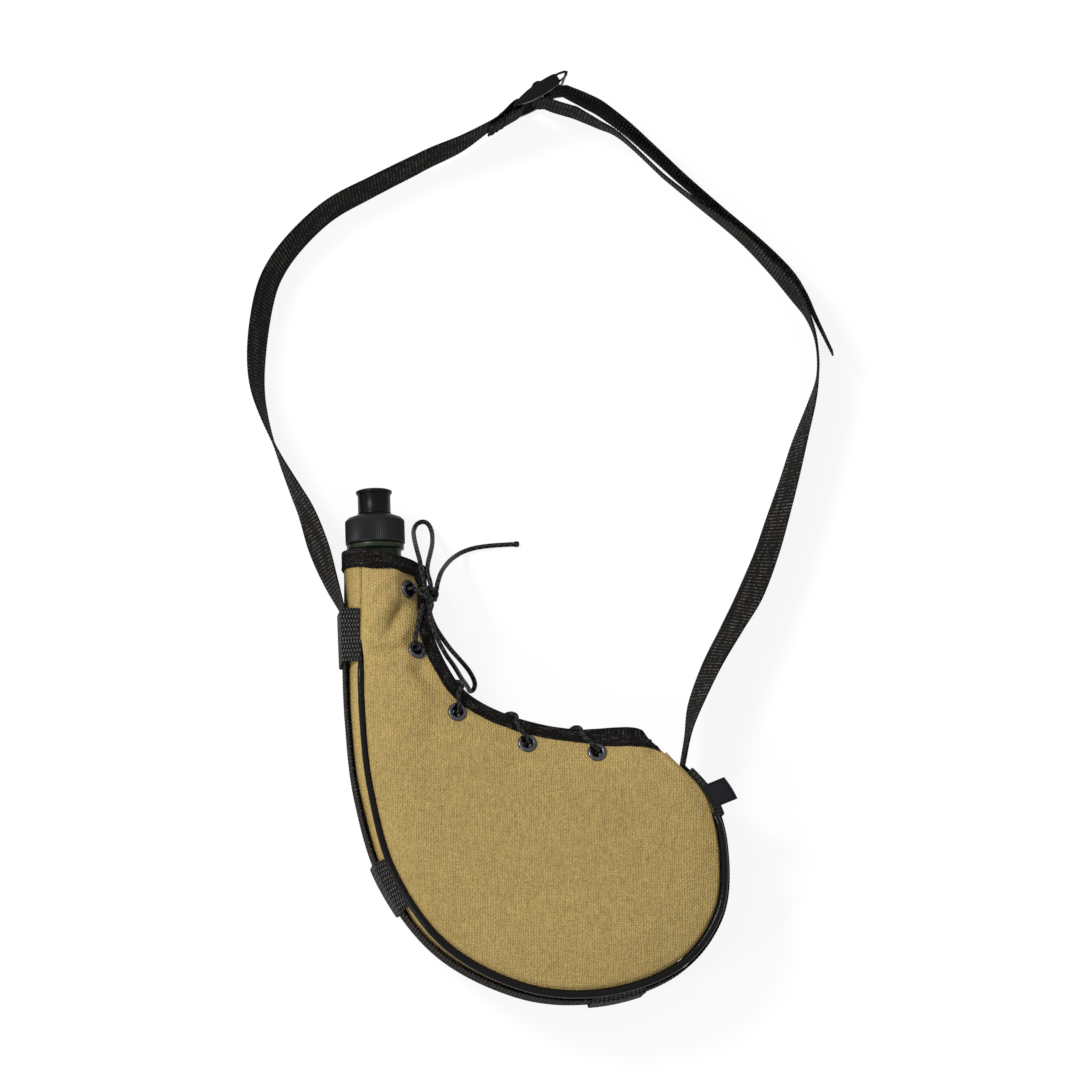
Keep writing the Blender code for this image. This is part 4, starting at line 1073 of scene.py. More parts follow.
STRAP_TAIL = (
    (22.0, 392.6, 15.6, 3), (31.6, 387.6, 14.2, 3), (50.0, 373.0, 13.0, 1),
    (71.0, 353.8, 0, -1), (90.4, 337.1, 0, -2), (109.7, 321.1, 0, -3), (125.2, 305.9, 0, -3),
    (133.4, 293.9, 0, -5), (139.3, 281.8, 0, -8), (147.3, 265.0, 0, -10))


def buckle_spot(along_buckle, outward):
    run = Vector((math.cos(BUCKLE_ANGLE), math.sin(BUCKLE_ANGLE)))
    return BUCKLE_PLACE + run * along_buckle + Vector((-run.y, run.x)) * outward


def held_stops(spots):
    return [Vector((*buckle_spot(*spot), BUCKLE_HEIGHT, 0.0)) for spot in spots]


def strap_stops():
    """Whole strap as stops of place, height and lean, from its sewn end to its free end."""
    first, last = STRAP_GUSSET_RIBS
    gusset = []
    for i in range(121):
        t = first + (last - first) * i / 120
        spot = seam(t, -along(BULGE, t) - GAP - WEBBING_THICK / 2)
        gusset.append(Vector((spot.x, spot.y, MIDDLE, 0.0)))
    left = held_stops(STRAP_FOLD[-1:]) + [Vector(stop) for stop in STRAP_LEFT]
    right = gusset[-1:] + [Vector(stop) for stop in STRAP_RIGHT] + held_stops(STRAP_WEAVE[:1])
    tail = held_stops(STRAP_WEAVE[-1:]) + [Vector(stop) for stop in STRAP_TAIL]
    stops = smooth_route(held_stops(STRAP_FOLD), 6)[:-1]
    stops += smooth_route(left + gusset[:1], 12)[:-1]
    stops += gusset[:-1]
    stops += smooth_route(right, 12)[:-1]
    stops += smooth_route(held_stops(STRAP_WEAVE), 6)[:-1]
    stops += smooth_route(tail, 12)
    return stops


# Weave of the strap: how softly it lifts off the table, rows in a rib, and the ribs' height
LIFT_EASE = 0.5
WEAVE_STEP = 0.45
RIB_ROWS = 4
RIB_PITCH = RIB_ROWS * WEAVE_STEP
RIB_HEIGHT = 0.14
WEB_ACROSS = (-1.0, -0.985, -0.93, -0.8, -0.4, 0.0, 0.4, 0.8, 0.93, 0.985, 1.0)


def strap_rings():
    route = strap_stops()
    lengths = lengths_along([stop.xy for stop in route])
    stops = even_line(route, WEAVE_STEP, lengths)
    rings = []
    for i, stop in enumerate(stops):
        ahead, behind = stops[min(i + 1, len(stops) - 1)], stops[max(i - 1, 0)]
        lean = math.radians(stop[3])
        floor = WEBBING / 2 * math.cos(lean) + GAP
        lift = LIFT_EASE * math.log1p(math.exp((stop.z - floor) / LIFT_EASE))
        middle = at(stop, floor + lift)
        run = at(ahead - behind, 0.0).normalized()
        side = Vector((0, 0, 1)).cross(run)
        up = Vector((0, 0, 1)) * math.cos(lean) + side * math.sin(lean)
        face = up.cross(run)
        rib = RIB_HEIGHT * math.cos(math.tau * i / RIB_ROWS)
        ring = []
        for sign in (1, -1):
            shares = WEB_ACROSS if sign > 0 else tuple(reversed(WEB_ACROSS))
            for share in shares:
                thick = (WEBBING_THICK / 2 - RIB_HEIGHT) * math.sqrt(max(0.0, 1 - abs(share) ** 24)) + 0.02
                thick += rib if abs(share) < 0.9 else rib * 0.4
                ring.append(middle + up * (WEBBING / 2 - 0.05) * share + face * thick * sign)
        rings.append(ring)
    return rings, lengths[-1]


def make_strap(finish):
    rings, total = strap_rings()
    edit = close_ends(woven_grid(rings, closed=True, pace=WEAVE_STEP))
    return make_piece("strap_webbing", edit, finish, "bag", ["strap"], 60.0), total


# Box of stitches on the strap's sewn end: its ends along the buckle, and half its height
SEWN_BOX = (-27.5, -20.5)
SEWN_HALF = 10.2


def sewn_end_places():
    """Box of stitches where the strap's folded end is sewn to itself behind the buckle."""
    places = []
    up = Vector((0, 0, 1))
    run = Vector((math.cos(BUCKLE_ANGLE), math.sin(BUCKLE_ANGLE), 0.0))
    out = Vector((-run.y, run.x, 0.0))
    for sign, rise, tilt in ((-1, -2.9, 0.0), (1, 0.85, 0.2)):
        for k in range(7):
            for reach in SEWN_BOX:
                spot = buckle_spot(reach, rise + tilt * (reach + 22.0))
                places.append((at(spot, BUCKLE_HEIGHT - SEWN_HALF + 3.4 * k), up, out * sign))
        for k in range(3):
            for level in (-SEWN_HALF, SEWN_HALF):
                reach = -26.6 + 2.6 * k
                spot = buckle_spot(reach, rise + tilt * (reach + 22.0))
                places.append((at(spot, BUCKLE_HEIGHT + level), run, out * sign))
    return places


def keeper_section(t):
    """Middle line of a keeper's section, from the rear seam over the strap to the front seam."""
    low, high = gusset_point(t, -1.0), gusset_point(t, 1.0)
    out = along(BULGE, t) + GAP + WEBBING_THICK + GAP + 0.6
    edge = WEBBING / 2 + GAP + 0.6
    near = seam(t, -GAP - 0.9)
    root = seam(t, 0.5)
    far, shoulder = seam(t, -out), seam(t, -out + 1.2)
    return [at(root, low.z - 0.2), at(near, low.z + 0.5), at(shoulder, MIDDLE - edge - 0.9),
            at(far, MIDDLE - edge + 0.6), at(far, MIDDLE - edge / 3), at(far, MIDDLE + edge / 3),
            at(far, MIDDLE + edge - 0.6), at(shoulder, MIDDLE + edge + 0.9), at(near, high.z - 0.5),
            at(root, high.z + 0.3)]


def make_keeper(number, finish):
    t_mid = KEEPER_RIBS[number]
    half = KEEPER_WIDTH / 2 / seam_pace(t_mid)
    rows = []
    for i in range(KEEPER_COLUMNS + 1):
        across = 2 * i / KEEPER_COLUMNS - 1
        t = t_mid + half * across
        line = even_line(smooth_route(keeper_section(t), 5), 0.9)
        thick = KEEPER_THICK / 2 * (1 if abs(across) < 0.97 else 0.6)
        outer, inner = [], []
        tangent = (seam(t + STEP) - seam(t - STEP)).to_3d().normalized()
        for j, point in enumerate(line):
            normal = tangent.cross(run_at(line, j)).normalized()
            outer.append(point + normal * thick)
            inner.append(point - normal * thick)
        rows.append((outer, inner))
    count = min(len(outer) for outer, _ in rows)
    grid = [outer[:count] + list(reversed(inner[:count])) for outer, inner in rows]
    edit = close_ends(woven_grid(grid, closed=True))
    return make_piece(f"keeper_loop_{number}", edit, finish, "bag", [f"keeper_{number}"], 50.0)


LABEL_RIB = 12.02
LABEL_SIZE = (12.5, 13.0)
LABEL_DIRECTION = Vector((0.92, 0.39))
LABEL_ROWS = 14
LABEL_STITCH_RISE = 0.66


def label_point(share, out, rise=0.0):
    """Point on the label: share runs along the seam from -0.5 to 0.5, and out away from it."""
    spot = seam(LABEL_RIB + share * LABEL_SIZE[0] / seam_pace(LABEL_RIB), -0.2) + LABEL_DIRECTION * out
    level = MIDDLE + seam_height("front", LABEL_RIB) - 1.2 * (out / LABEL_SIZE[1]) ** 2
    wave = 0.25 * math.sin(share * 5 + out * 0.3) * out / LABEL_SIZE[1]
    return at(spot, level + rise + wave)


def make_label(finish):
    """Tab folded back on itself at its outer end."""
    rows = []
    for i in range(LABEL_ROWS + 1):
        share = i / LABEL_ROWS - 0.5
        width = 0.62 if abs(share) < 0.48 else 0.4
        tip = LABEL_SIZE[1]
        line = [label_point(share, tip * k / 12, width) for k in range(12)]
        for k in range(7):
            angle = math.pi / 2 - math.pi * k / 6
            line.append(label_point(share, tip - 0.7 + 0.7 * math.cos(angle), width * math.sin(angle)))
        line += [label_point(share, tip * k / 12, -width) for k in reversed(range(12))]
        rows.append(line)
    edit = close_ends(woven_grid(rows, closed=True))
    return make_piece("label_tab_ribbon", edit, finish, "bag", ["label_tab"], 50.0)


def label_stitches():
    places = []
    up, out = Vector((0, 0, 1)), LABEL_DIRECTION.to_3d()
    for k in range(8):
        share = -0.38 + 0.76 * k / 7
        side = (label_point(share + 0.05, 1.4) - label_point(share - 0.05, 1.4)).normalized()
        for reach in (1.3, LABEL_SIZE[1] - 1.5):
            places.append((label_point(share, reach, LABEL_STITCH_RISE), side, up))
    for k in range(1, 7):
        for share in (-0.42, 0.42):
            spot = label_point(share, 1.3 + (LABEL_SIZE[1] - 2.8) * k / 7, LABEL_STITCH_RISE)
            places.append((spot, out, up))
    return places


def buckle_outline(low, high):
    """Side outline of the ladder-lock between two places along it."""
    def half(a):
        for (a0, n0), (a1, n1) in zip(BUCKLE_SIDE, BUCKLE_SIDE[1:]):
            if a0 <= a <= a1:
                return n0 + (n1 - n0) * (a - a0) / (a1 - a0)
        return BUCKLE_SIDE[-1][1]

    stops = [low] + [a for a, _ in BUCKLE_SIDE if low < a < high] + [high]
    return [(a, half(a)) for a in stops] + [(a, -half(a)) for a in reversed(stops)]


def mirrored(upper):
    return list(upper) + [(a, -n) for a, n in reversed(upper)]


def lip_outline():
    """Thin open loop at a rail's end: its outer line and the same line set inwards."""
    line = mirrored(BUCKLE_LIP[:-1])
    line.insert(len(BUCKLE_LIP) - 1, BUCKLE_LIP[-1])
    root = BUCKLE_LIP[0][0]
    return line + [(root + (a - root) * 0.87, n * 0.66) for a, n in reversed(line)]


def prism(outline, low, high, bevel):
    edit = new_shape()
    face = edit.faces.new([edit.verts.new((a, n, low)) for a, n in outline])
    grown = bmesh.ops.extrude_face_region(edit, geom=[face])
    top = [part for part in grown["geom"] if isinstance(part, bmesh.types.BMVert)]
    bmesh.ops.translate(edit, vec=(0, 0, high - low), verts=top)
    bmesh.ops.recalc_face_normals(edit, faces=edit.faces)
    bmesh.ops.bevel(edit, geom=edit.edges, offset=bevel, offset_type="OFFSET", affect="EDGES",
                    segments=3, profile=0.5, material=-1, clamp_overlap=True)
    return edit


def make_buckle(finish):
    edit = new_shape()
    rails = ((-BUCKLE_HALF, -BUCKLE_SLOT), (BUCKLE_SLOT, BUCKLE_HALF))
    for low, high in rails:
        add_shape(edit, prism(mirrored(BUCKLE_RAILS), low, high, BUCKLE_BEVEL))
    for low, high in BUCKLE_BARS:
        add_shape(edit, prism(buckle_outline(low, high), -BAR_REACH, BAR_REACH, BUCKLE_BEVEL))
    for low, high in rails:
        add_shape(edit, prism(lip_outline(), low, high, 0.12))
    add_shape(edit, block((16.9, -0.5, -BAR_REACH), (18.0, 0.5, BAR_REACH), 0.2))
    place = Matrix.Translation(at(BUCKLE_PLACE, BUCKLE_HEIGHT))
    move(edit, place @ Matrix.Rotation(BUCKLE_ANGLE, 4, "Z"))
    return make_piece("ladder_lock", edit, finish, "bag", ["buckle"], 35.0)


# Bottle, cap and spout, along the neck's axis

NECK_FOOT = Vector((-84.7, 157.0, MIDDLE))
NECK_LEAN = math.radians(1.9)
WALL = 1.2
NECK_RADIUS = 12.2
NECK_TOP = 16.3
COLLAR_RADIUS = 14.3
COLLAR = (1.9, 4.3)
BOTTLE_MOUTH_RADIUS = 12.8
MOUTH_FOOT = -4.0
BOTTLE_LAST_RIB = 12.2
BOTTLE_NECK_RIBS = 3.6
THREAD_PITCH = 3.18
THREAD_START = 7.4
THREAD_HEIGHT = 1.1
THREAD_TURNS = 1.5
THREAD_STEPS = 40
THREAD_HALF = THREAD_PITCH * 0.17
CAP_RADIUS = 14.85
CAP_FOOT = 4.7
CAP_TOP = 19.6
CAP_BORE = 13.75
CAP_DISC = 1.7
CAP_RIBS = 92
POST_RADIUS = 5.6
POST_BORE = 4.0
POST_TOP = 29.0
PIN_RADIUS = 1.7
SPOUT_RADIUS = 8.15
SPOUT_FLARE = 9.1
SPOUT_BORE = 6.0
SPOUT_HOLE = 2.1
SPOUT_TOP = 32.8


def neck_frame():
    """Local Z runs out of the bottle's mouth and local X to the right."""
    out = Vector((-math.sin(NECK_LEAN), math.cos(NECK_LEAN), 0.0))
    right = Vector((math.cos(NECK_LEAN), math.sin(NECK_LEAN), 0.0))
    return placed(NECK_FOOT, right, out.cross(right), out)


NECK = neck_frame()
BOTTLE_POINTS = 56


def bottle_ring(t, inset):
    """Section of the bottle's belly at one rib."""
    share = ease(t / BOTTLE_NECK_RIBS)
    start = seam(t, 2.0 + inset)
    end = laced(t, 8.0 + 3 * (1 - ease((t - 1.5) / 3)) + inset)
    width, rib = (end - start).length, (end - start).normalized()
    neck = Vector((NECK_FOOT.x, along(SEAM, t).y))
    centre = neck.lerp((start + end) / 2, share)
    half = (BOTTLE_MOUTH_RADIUS - inset) * (1 - share) + width / 2 * share
    full = (laced(t) - seam(t)).length
    room = height("front", t, full / 2, full / 2) - 1.6
    lift = (BOTTLE_MOUTH_RADIUS - inset) * (1 - share) + (room - inset) * share
    power = 2 / (2 + 0.6 * share)
    ring = []
    for i in range(BOTTLE_POINTS):
        angle = math.tau * i / BOTTLE_POINTS
        c, s = math.cos(angle), math.sin(angle)
        x = math.copysign(abs(c) ** power, c) * half
        z = math.copysign(abs(s) ** power, s) * lift
        ring.append(Vector((centre.x + rib.x * x, centre.y + rib.y * x, MIDDLE + z)))
    return ring


def neck_ring(radius, level):
    ring = []
    for i in range(BOTTLE_POINTS):
        angle = math.tau * i / BOTTLE_POINTS
        ring.append(NECK @ Vector((radius * math.cos(angle), -radius * math.sin(angle), level)))
    return ring


def shrunk(ring, share, back):
    middle = sum(ring, Vector()) / len(ring)
    return [middle + (point - middle) * share + back for point in ring]


def thread(radius, crest, start, turns):
    """Thread ridge with run-outs at both ends."""
    rings = []
    last = int(turns * THREAD_STEPS)
    for i in range(last + 1):
        angle, level = math.tau * i / THREAD_STEPS, start + THREAD_PITCH * i / THREAD_STEPS
        top = radius + (crest - radius) * ease(min(i, last - i) / 5)
        profile = ((radius, level - THREAD_HALF), (top, level - THREAD_HALF * 0.5),
                   (top, level + THREAD_HALF * 0.5), (radius, level + THREAD_HALF))
        rings.append([NECK @ Vector((r * math.cos(angle), r * math.sin(angle), z)) for r, z in profile])
    return close_ends(woven_grid(rings, closed=True))


def make_bottle(finish):
    ribs = [0.5 + (BOTTLE_LAST_RIB - 0.5) * i / 60 for i in range(61)]
    neck, collar, mouth = NECK_RADIUS, COLLAR_RADIUS, BOTTLE_MOUTH_RADIUS
    low, high = COLLAR
    outer = [neck_ring(r, z) for r, z in (
        (neck - 0.5, NECK_TOP), (neck - 0.1, NECK_TOP - 0.12), (neck, NECK_TOP - 0.45),
        (neck, high + 0.25), (neck + 0.3, high), (collar - 0.35, high - 0.02),
        (collar - 0.08, high - 0.15), (collar, high - 0.45), (collar, low + 0.3), (collar - 0.15, low),
        (mouth + 0.5, low - 0.3), (mouth, low - 0.9), (mouth, MOUTH_FOOT))]
    outer += [bottle_ring(t, 0.0) for t in ribs]
    last = outer[-1]
    on = (seam(ribs[-1] + 0.3, 12) - seam(ribs[-1], 12)).to_3d() * 0.5
    outer += [shrunk(last, share, on * reach) for share, reach in (
        (0.95, 0.55), (0.82, 1.0), (0.6, 1.3), (0.35, 1.4), (0.12, 1.42))]
    inner = [neck_ring(r, z) for r, z in (
        (neck - WALL + 0.3, NECK_TOP), (neck - WALL, NECK_TOP - 0.3), (neck - WALL, low),
        (mouth - WALL, MOUTH_FOOT))]
    inner += [bottle_ring(t, WALL) for t in ribs[::4]]
    inner += [shrunk(inner[-1], 0.78, on * 0.7), shrunk(inner[-1], 0.3, on)]
    edit = close_ends(woven_grid(list(reversed(outer)) + inner, closed=True))
    add_shape(edit, thread(NECK_RADIUS - 0.4, NECK_RADIUS + THREAD_HEIGHT, THREAD_START, THREAD_TURNS))
    return make_piece("bottle_shell", edit, finish, "bag", ["bottle"])


def make_cap(finish):
    under = CAP_TOP - CAP_DISC
    rim = CAP_RADIUS
    profile = [(CAP_BORE, CAP_FOOT + 0.3, 0), (CAP_BORE + 0.3, CAP_FOOT, 0), (rim - 0.45, CAP_FOOT, 0),
               (rim - 0.08, CAP_FOOT + 0.12, 0), (rim, CAP_FOOT + 0.5, 0), (rim, CAP_FOOT + 0.9, 1),
               (rim, CAP_TOP - 3.7, 1), (rim - 0.05, CAP_TOP - 3.3, 0), (rim - 0.25, CAP_TOP - 2.9, 0),
               (rim - 0.8, CAP_TOP - 2.45, 0), (rim - 3.7, CAP_TOP - 0.85, 0), (rim - 4.4, CAP_TOP - 0.62, 0),
               (rim - 6.0, CAP_TOP - 0.45, 0), (SPOUT_RADIUS + 0.9, CAP_TOP - 0.4, 0),
               (SPOUT_RADIUS + 0.55, CAP_TOP - 0.1, 0), (SPOUT_RADIUS + 0.4, CAP_TOP, 0),
               (POST_RADIUS + 0.4, CAP_TOP, 0), (POST_RADIUS, CAP_TOP + 0.4, 0),
               (POST_RADIUS, POST_TOP - 0.4, 0), (POST_RADIUS - 0.4, POST_TOP, 0), (POST_BORE, POST_TOP, 0),
               (POST_BORE, under, 0), (CAP_BORE - 0.4, under, 0), (CAP_BORE, under - 0.4, 0)]
    steps = CAP_RIBS * 4
    rows = []
    for k in range(steps):
        angle = math.tau * k / steps
        groove = 0.16 * (1 - math.cos(math.tau * k / 4))
        row = []
        for radius, level, ribbed in profile:
            reach = radius - groove * ribbed
            row.append(NECK @ Vector((reach * math.cos(angle), reach * math.sin(angle), level)))
        rows.append(row)
    edit = woven_grid(rows + rows[:1], closed=True)
    bmesh.ops.recalc_face_normals(edit, faces=edit.faces)
    start = THREAD_START + THREAD_PITCH / 2
    add_shape(edit, thread(CAP_BORE + 0.4, CAP_BORE - THREAD_HEIGHT, start, THREAD_TURNS))
    web = block((-POST_BORE - 0.6, -0.7, CAP_TOP), (POST_BORE + 0.6, 0.7, POST_TOP - 1.5))
    add_shape(edit, move(web, NECK))
    tip = SPOUT_TOP - 0.2
    pin = [(0.0005, POST_TOP - 4), (PIN_RADIUS, POST_TOP - 4), (PIN_RADIUS, SPOUT_TOP - 0.7),
           (PIN_RADIUS - 0.25, SPOUT_TOP - 0.35), (PIN_RADIUS - 0.7, tip), (0.0005, tip)]
    add_shape(edit, move(turned(pin, 24), NECK))
    return make_piece("cap_shell", edit, finish, "cap", ["cap"], 32.0)


def make_spout(finish):
    foot, ceiling, top = CAP_TOP + GAP, POST_TOP + GAP, SPOUT_TOP
    body, flange = SPOUT_RADIUS, SPOUT_FLARE
    profile = [(SPOUT_BORE, foot), (body + 0.05, foot), (body + 0.2, foot + 0.15),
               (body + 0.2, foot + 0.6), (body, foot + 0.95), (body, top - 3.9), (body + 0.08, top - 3.4),
               (body + 0.4, top - 2.9), (flange - 0.15, top - 2.45), (flange, top - 2.2),
               (flange, top - 1.55), (flange - 0.12, top - 1.3), (flange - 0.6, top - 0.95),
               (body - 0.9, top - 0.5), (body - 2.6, top - 0.2), (SPOUT_HOLE + 1.6, top - 0.02),
               (SPOUT_HOLE + 0.5, top - 0.1), (SPOUT_HOLE, top - 0.5), (SPOUT_HOLE, ceiling),
               (SPOUT_BORE, ceiling)]
    edit = move(turned(profile, 72), NECK)
    return make_piece("spout_shell", edit, finish, "spout", ["spout"], 40.0)


# Lace

KNOT = Vector((-59.8, 135.0, 38.5))
KNOT_SIDE = Vector((-5.4, 0.6, 0.0))
KNOT_TURNS = (
    (-4.6, 0.4, 0.4), (-2.6, 2.0, 1.9), (0.4, 2.6, 2.6), (3.2, 1.8, 1.8), (4.6, 0.2, 0.2), (4.0, -1.6, -1.4),
    (1.6, -2.4, -1.8), (-1.4, -1.0, -1.6), (-3.4, 1.2, -1.4), (-3.9, 1.0, 0.8), (-2.2, -1.2, 2.6),
    (0.6, -2.2, 2.8), (3.0, -3.0, 1.4), (4.0, -2.4, -1.0), (2.6, 0.2, -2.2), (0.2, 2.2, -1.6),
    (-0.8, 2.8, 0.4), (-0.4, 0.6, 3.3), (0.6, -1.6, 1.0), (1.4, -3.0, -1.0))
BOW_STRAND = ((-66.0, 110.8, 45.0), (-64.6, 119.0, 43.8), (-63.2, 125.4, 41.6), (-61.8, 129.2, 40.4))
LOOP_UP = (
    (-60.4, 134.2, 38.6), (-61.2, 139.2, 39.8), (-62.6, 145.4, 39.5), (-63.5, 152.0, 37.0),
    (-64.5, 158.8, 29.5), (-64.9, 165.6, 17.5), (-64.6, 171.8, 6.0), (-62.7, 176.0, 1.8),
    (-59.6, 177.3, 1.6), (-56.9, 175.9, 2.0), (-55.4, 170.9, 6.0), (-55.9, 163.7, 16.0),
    (-57.6, 157.0, 26.0), (-59.3, 150.4, 34.0), (-59.6, 145.4, 37.8), (-58.1, 139.3, 38.5),
    (-59.4, 134.8, 38.4))
LOOP_DOWN = (
    (-60.0, 136.0, 38.2), (-59.2, 130.2, 36.8), (-58.2, 125.2, 37.0), (-56.0, 119.8, 35.5),
    (-52.2, 115.2, 29.0), (-46.7, 110.3, 18.0), (-41.2, 106.1, 9.0), (-36.3, 101.4, 3.5),
    (-33.5, 96.3, 1.6), (-33.8, 92.8, 1.6), (-35.8, 91.4, 2.6), (-37.8, 93.0, 9.5),
    (-41.6, 95.6, 21.0), (-46.2, 99.8, 34.0), (-50.8, 104.4, 41.8), (-54.8, 111.4, 43.4),
    (-57.8, 118.4, 43.6), (-58.8, 124.8, 43.0), (-57.8, 129.4, 42.2), (-59.8, 134.6, 39.6))
TAIL = (
    (-60.0, 134.4, 38.6), (-55.6, 136.5, 38.5), (-54.6, 140.6, 37.4), (-52.2, 147.4, 30.0),
    (-47.9, 154.3, 17.5), (-43.6, 159.0, 8.0), (-39.0, 162.3, 2.6), (-33.4, 164.3, 1.6),
    (-26.8, 165.4, 1.6), (-19.2, 166.1, 1.6), (-11.1, 166.6, 1.6))
LIP_BOTTOM = -3.0
UNDER_LIP = LIP_BOTTOM - GAP - LACE / 2
IN_HOLE = -0.6
OVER_TAPE = 0.8 + TAPE + GAP + LACE / 2

# Turn of a strand over the edge: share of the crossing, reach past the edge and rise above it
CROSSING_TURN = (
    (0.21, 0.0, 3.0), (0.26, 0.9, 2.5), (0.305, 1.4, 1.0), (0.34, 1.4, -0.8), (0.375, 0.8, -2.7),
    (0.415, -0.1, -5.4), (0.465, -1.0, -9.5))


def hole_point(side, number, rise, shift=0.0):
    """Point on an eyelet's axis, moved towards the laced edge."""
    place, across, up = EYELETS[side, number]
    return place + up * rise + across * shift


def crossing(out_side, out_number, in_side, in_number, depth):
    """Lace from outside one eyelet, over its edge, across the opening and into the other."""
    t_out, t_in = EYELET_RIBS[out_number], EYELET_RIBS[in_number]
    points = [hole_point(out_side, out_number, 2.7, 1.2)]
    t = t_out + (t_in - t_out) * 0.17
    points.append(panel_off(out_side, t, 1 - 4.5 / panel_width(out_side, t), OVER_TAPE + 0.4))
    for share, reach, rise in CROSSING_TURN:
        t = t_out + (t_in - t_out) * share
        edge, normal = smooth_panel(out_side, t, 1.0, frame_edge), panel_normal(out_side, t, 1.0)
        outward = (edge - smooth_panel(out_side, t, 0.98, frame_edge)).normalized()
        points.append(edge + outward * reach + normal * rise)
    for share, fall, inset in ((0.53, 0.4, 0.0), (0.67, 0.53, 2.0)):
        t = t_out + (t_in - t_out) * share
        spot = laced(t, depth + inset)
        start, end = smooth_panel(out_side, t, 1.0).z, smooth_panel(in_side, t, 1.0).z
        points.append(at(spot, start + (end - start) * fall))
    t = t_out + (t_in - t_out) * 0.84
    inside = -1.0 - OVER_TAPE
    points.append(panel_off(in_side, t, 1 - 3.0 / panel_width(in_side, t), inside - 2.8))
    points.append(hole_point(in_side, in_number, inside - 0.7, 4.2))
    points.append(hole_point(in_side, in_number, UNDER_LIP + 0.2, 0.6))
    points.append(hole_point(in_side, in_number, IN_HOLE))
    return points


def lowest_hole(side):
    """Lace from the lowest eyelet's hole in under its lip."""
    return [hole_point(side, 5, rise, shift) for rise, shift in (
        (IN_HOLE, 0.0), (UNDER_LIP + 0.2, 0.5), (UNDER_LIP - 0.9, 3.4))]


def lacing_route():
    """Lace from the bow down through the eyelets, across the lowest pair and back up to the bow."""
    chain = (("front", 1), ("rear", 2), ("front", 3), ("rear", 4), ("front", 5))
    points = [KNOT + KNOT_SIDE, hole_point("front", 1, 2.4, 2.0), hole_point("front", 1, 1.2, 0.0)]
    for inner, outer in zip(chain, chain[1:]):
        points += reversed(crossing(*outer, *inner, 0.6))
    points += lowest_hole("front") + [at(laced(EYELET_RIBS[5], 2.0), MIDDLE)]
    points += reversed(lowest_hole("rear"))
    chain = (("rear", 5), ("front", 4), ("rear", 3), ("front", 2))
    for outer, inner in zip(chain, chain[1:]):
        points += crossing(*outer, *inner, 3.6)
    points += [hole_point("front", 2, 2.4, 0.0), hole_point("front", 2, 3.6, 1.4)]
    points += [Vector(p) for p in BOW_STRAND]
    return points


def tail_radius(share):
    """Radius of the loose end, with the knot at its tip."""
    tip = ease((share - 0.965) / 0.012)
    return LACE / 2 * (1 + 0.28 * tip) * (1 if share < 0.995 else 0.7)


def make_lace(finish):
    def piece(name, line, node, sides=12, radius=LACE / 2):
        return make_piece(name, round_cord(line, radius, sides), finish, "bag", [node])

    piece("lace_crossings", even_line(smooth_route(lacing_route(), 6), LACE_GAP), "lacing", 10)
    piece("lace_bow_knot", smooth_route([KNOT + Vector(p) for p in KNOT_TURNS], 8), "lace_knot")
    for name, route, radius, far_end in (
            ("lace_loop_up", LOOP_UP, LACE / 2, "object"),
            ("lace_loop_down", LOOP_DOWN, LACE / 2, "object"),
            ("lace_tail", TAIL, tail_radius, "knot")):
        line = even_line(smooth_route([Vector(p) for p in route], 8), LACE_GAP)
        cord = piece(name + "_cord", line, name, 12, radius)


# Everything together

def dress_frame(steel, rubber):
    """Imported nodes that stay: their own shapes, with a finish."""
    for name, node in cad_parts.items():
        if name.startswith("washer_"):
            set_finish(node, steel)
    set_finish(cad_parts["cap_seal"], rubber)


def set_finish(node, finish):
    node.data.materials.clear()
    node.data.materials.append(finish)


def stand_camera():
    ahead = (CAMERA_AIM - CAMERA_PLACE).normalized()
    right = ahead.cross(Vector((0, 1, 0))).normalized()
    up = right.cross(ahead)
    lens = bpy.data.cameras.new("Camera")
    lens.lens = CAMERA_LENS
    lens.sensor_width = SENSOR
    lens.sensor_fit = "HORIZONTAL"
    lens.clip_start = 0.05
    lens.clip_end = 60.0
    camera = bpy.data.objects.new("Camera", lens)
    camera.matrix_world = placed(CAMERA_PLACE * MM, right, up, -ahead)
    bpy.context.scene.collection.objects.link(camera)
    bpy.context.scene.camera = camera
    bpy.context.scene.view_settings.view_transform = "Standard"


WORLD_LIGHT = 0.42
FLOOR_GLOW = 0.84
LAMP_AIM = Vector((0.0, 0.15, 0.0))


def place_lamp(name, place, width, power):
    light = bpy.data.lights.new(name, "AREA")
    light.shape = "DISK"
    light.size = width
    light.energy = power
    lamp = bpy.data.objects.new(name, light)
    ahead = (LAMP_AIM - Vector(place)).normalized()
    lamp.matrix_world = Matrix.Translation(place) @ ahead.to_track_quat("-Z", "Y").to_matrix().to_4x4()
    bpy.context.scene.collection.objects.link(lamp)


def seen_directly(tree):
    """1 where the background is seen, straight or through a mirror or glass."""
    path = put(tree, "ShaderNodeLightPath", {}, {})
    straight, glossy, through = (Value(path.outputs[name]) for name in (
        "Is Camera Ray", "Is Glossy Ray", "Is Transmission Ray"))
    return straight.lift(glossy).lift(through)


def light_room():
    world = bpy.data.worlds.new("Studio")
    bpy.context.scene.world = world
    world.use_nodes = True
    tree = world.node_tree
    background = tree.nodes["Background"]
    background.inputs["Color"].default_value = (1.0, 1.0, 1.0, 1.0)
    strength = WORLD_LIGHT + (1 - WORLD_LIGHT) * seen_directly(tree)
    tree.links.new(strength.socket, background.inputs["Strength"])
    place_lamp("Key", (-1.5, 1.1, 1.9), 0.65, 41.0)
    place_lamp("Fill", (-1.7, -0.8, 1.6), 0.35, 11.0)


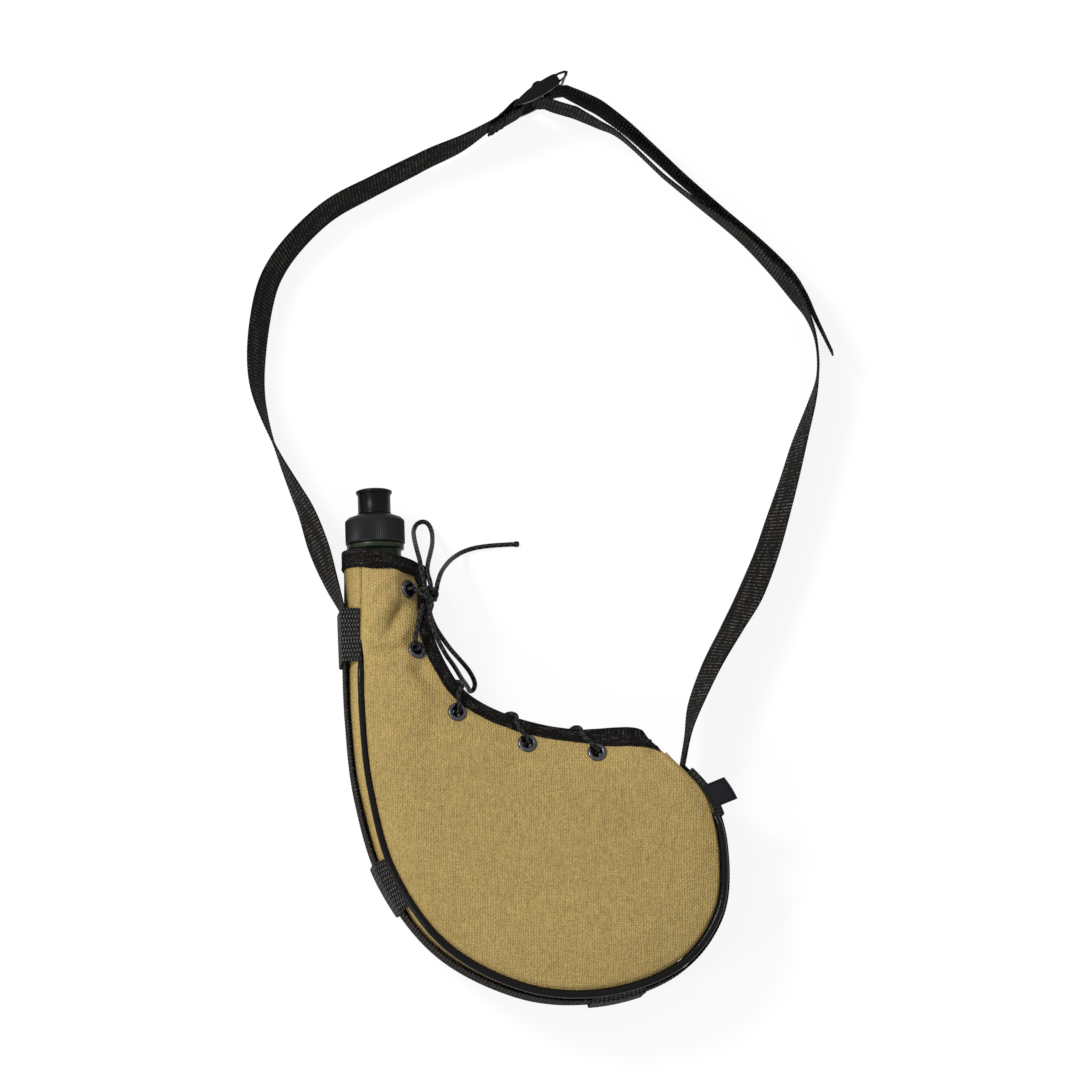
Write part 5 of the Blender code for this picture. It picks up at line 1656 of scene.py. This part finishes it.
def lay_floor():
    edit = bmesh.new()
    bmesh.ops.create_grid(edit, x_segments=1, y_segments=1, size=9.0)
    mesh = bpy.data.meshes.new("floor")
    edit.to_mesh(mesh)
    edit.free()
    floor = bpy.data.objects.new("floor", mesh)
    bpy.context.scene.collection.objects.link(floor)
    paper = bpy.data.materials.new("white paper sweep")
    paper.use_nodes = True
    tree = paper.node_tree
    shader = tree.nodes["Principled BSDF"]
    shader.inputs["Base Color"].default_value = (0.93, 0.93, 0.93, 1.0)
    shader.inputs["Roughness"].default_value = 0.95
    glow = put(tree, "ShaderNodeEmission", {}, {"Color": (1.0, 1.0, 1.0, 1.0), "Strength": 1.05})
    blend = put(tree, "ShaderNodeMixShader", {}, {0: FLOOR_GLOW * seen_directly(tree)})
    tree.links.new(shader.outputs[0], blend.inputs[1])
    tree.links.new(glow.outputs[0], blend.inputs[2])
    tree.links.new(blend.outputs[0], tree.nodes["Material Output"].inputs["Surface"])
    mesh.materials.append(paper)


def main():
    stand_camera()
    light_room()
    lay_floor()
    panel_canvas = canvas_finish("khaki canvas", "Object")
    strip_canvas = canvas_finish("khaki canvas strip", "UV")
    tape = knit_finish("knitted edge tape", (0.0068, 0.0058, 0.0051), (0.170, 0.160, 0.155), 1.5)
    braid = braid_finish("braided lace")
    webbing = webbing_finish("ribbed strap webbing")
    herringbone = herringbone_finish("herringbone keeper webbing")
    make_lace(braid)
    canvas = [make_panel(side, panel_canvas) for side in SIDES]
    canvas.append(make_gusset(strip_canvas))
    vinyl = vinyl_finish("glossy piping vinyl", (0.0046, 0.0036, 0.0042), 0.18)
    for side in SIDES:
        make_piping(side, vinyl)
    sewing = make_binding("front", tape)[3::3] + make_binding("rear", tape)[3::3]
    sewing += make_mouth_binding(tape)
    thread_finish = knit_finish("black sewing thread", (0.006, 0.0055, 0.0055), (0.04, 0.04, 0.04), 0.5)
    make_piece("tape_stitches", stitches(sewing), thread_finish, "bag")
    nickel = metal_finish("black-nickelled eyelet", (0.055, 0.056, 0.064), 0.22)
    for side in SIDES:
        for number in EYELET_RIBS:
            make_eyelet(side, number, nickel)
    strap, strap_length = make_strap(webbing)
    for number in KEEPER_RIBS:
        make_keeper(number, herringbone)
    make_piece("strap_end_stitches", stitches(sewn_end_places()), thread_finish, "bag")
    make_label(satin_finish("plain label ribbon"))
    make_piece("label_stitches", stitches(label_stitches(), 1.3, 0.2), thread_finish, "bag")
    make_buckle(moulded_finish("black buckle plastic", (0.0042, 0.0042, 0.0044), 0.34, 0.4, 0.09))
    make_bottle(moulded_finish("dark green bottle plastic", (0.0125, 0.0205, 0.0085), 0.36, 0.5, 0.2))
    make_cap(moulded_finish("charcoal cap plastic", (0.0112, 0.0112, 0.0125), 0.40, 0.7, 0.13))
    make_spout(moulded_finish("black spout plastic", (0.0045, 0.0036, 0.0035), 0.30, 0.4, 0.09))
    dress_frame(nickel, moulded_finish("sealing rubber", (0.55, 0.55, 0.52), 0.6, 0.4, 0.4))
    return canvas, strap, strap_length


canvas_pieces, strap_piece, strap_length = main()
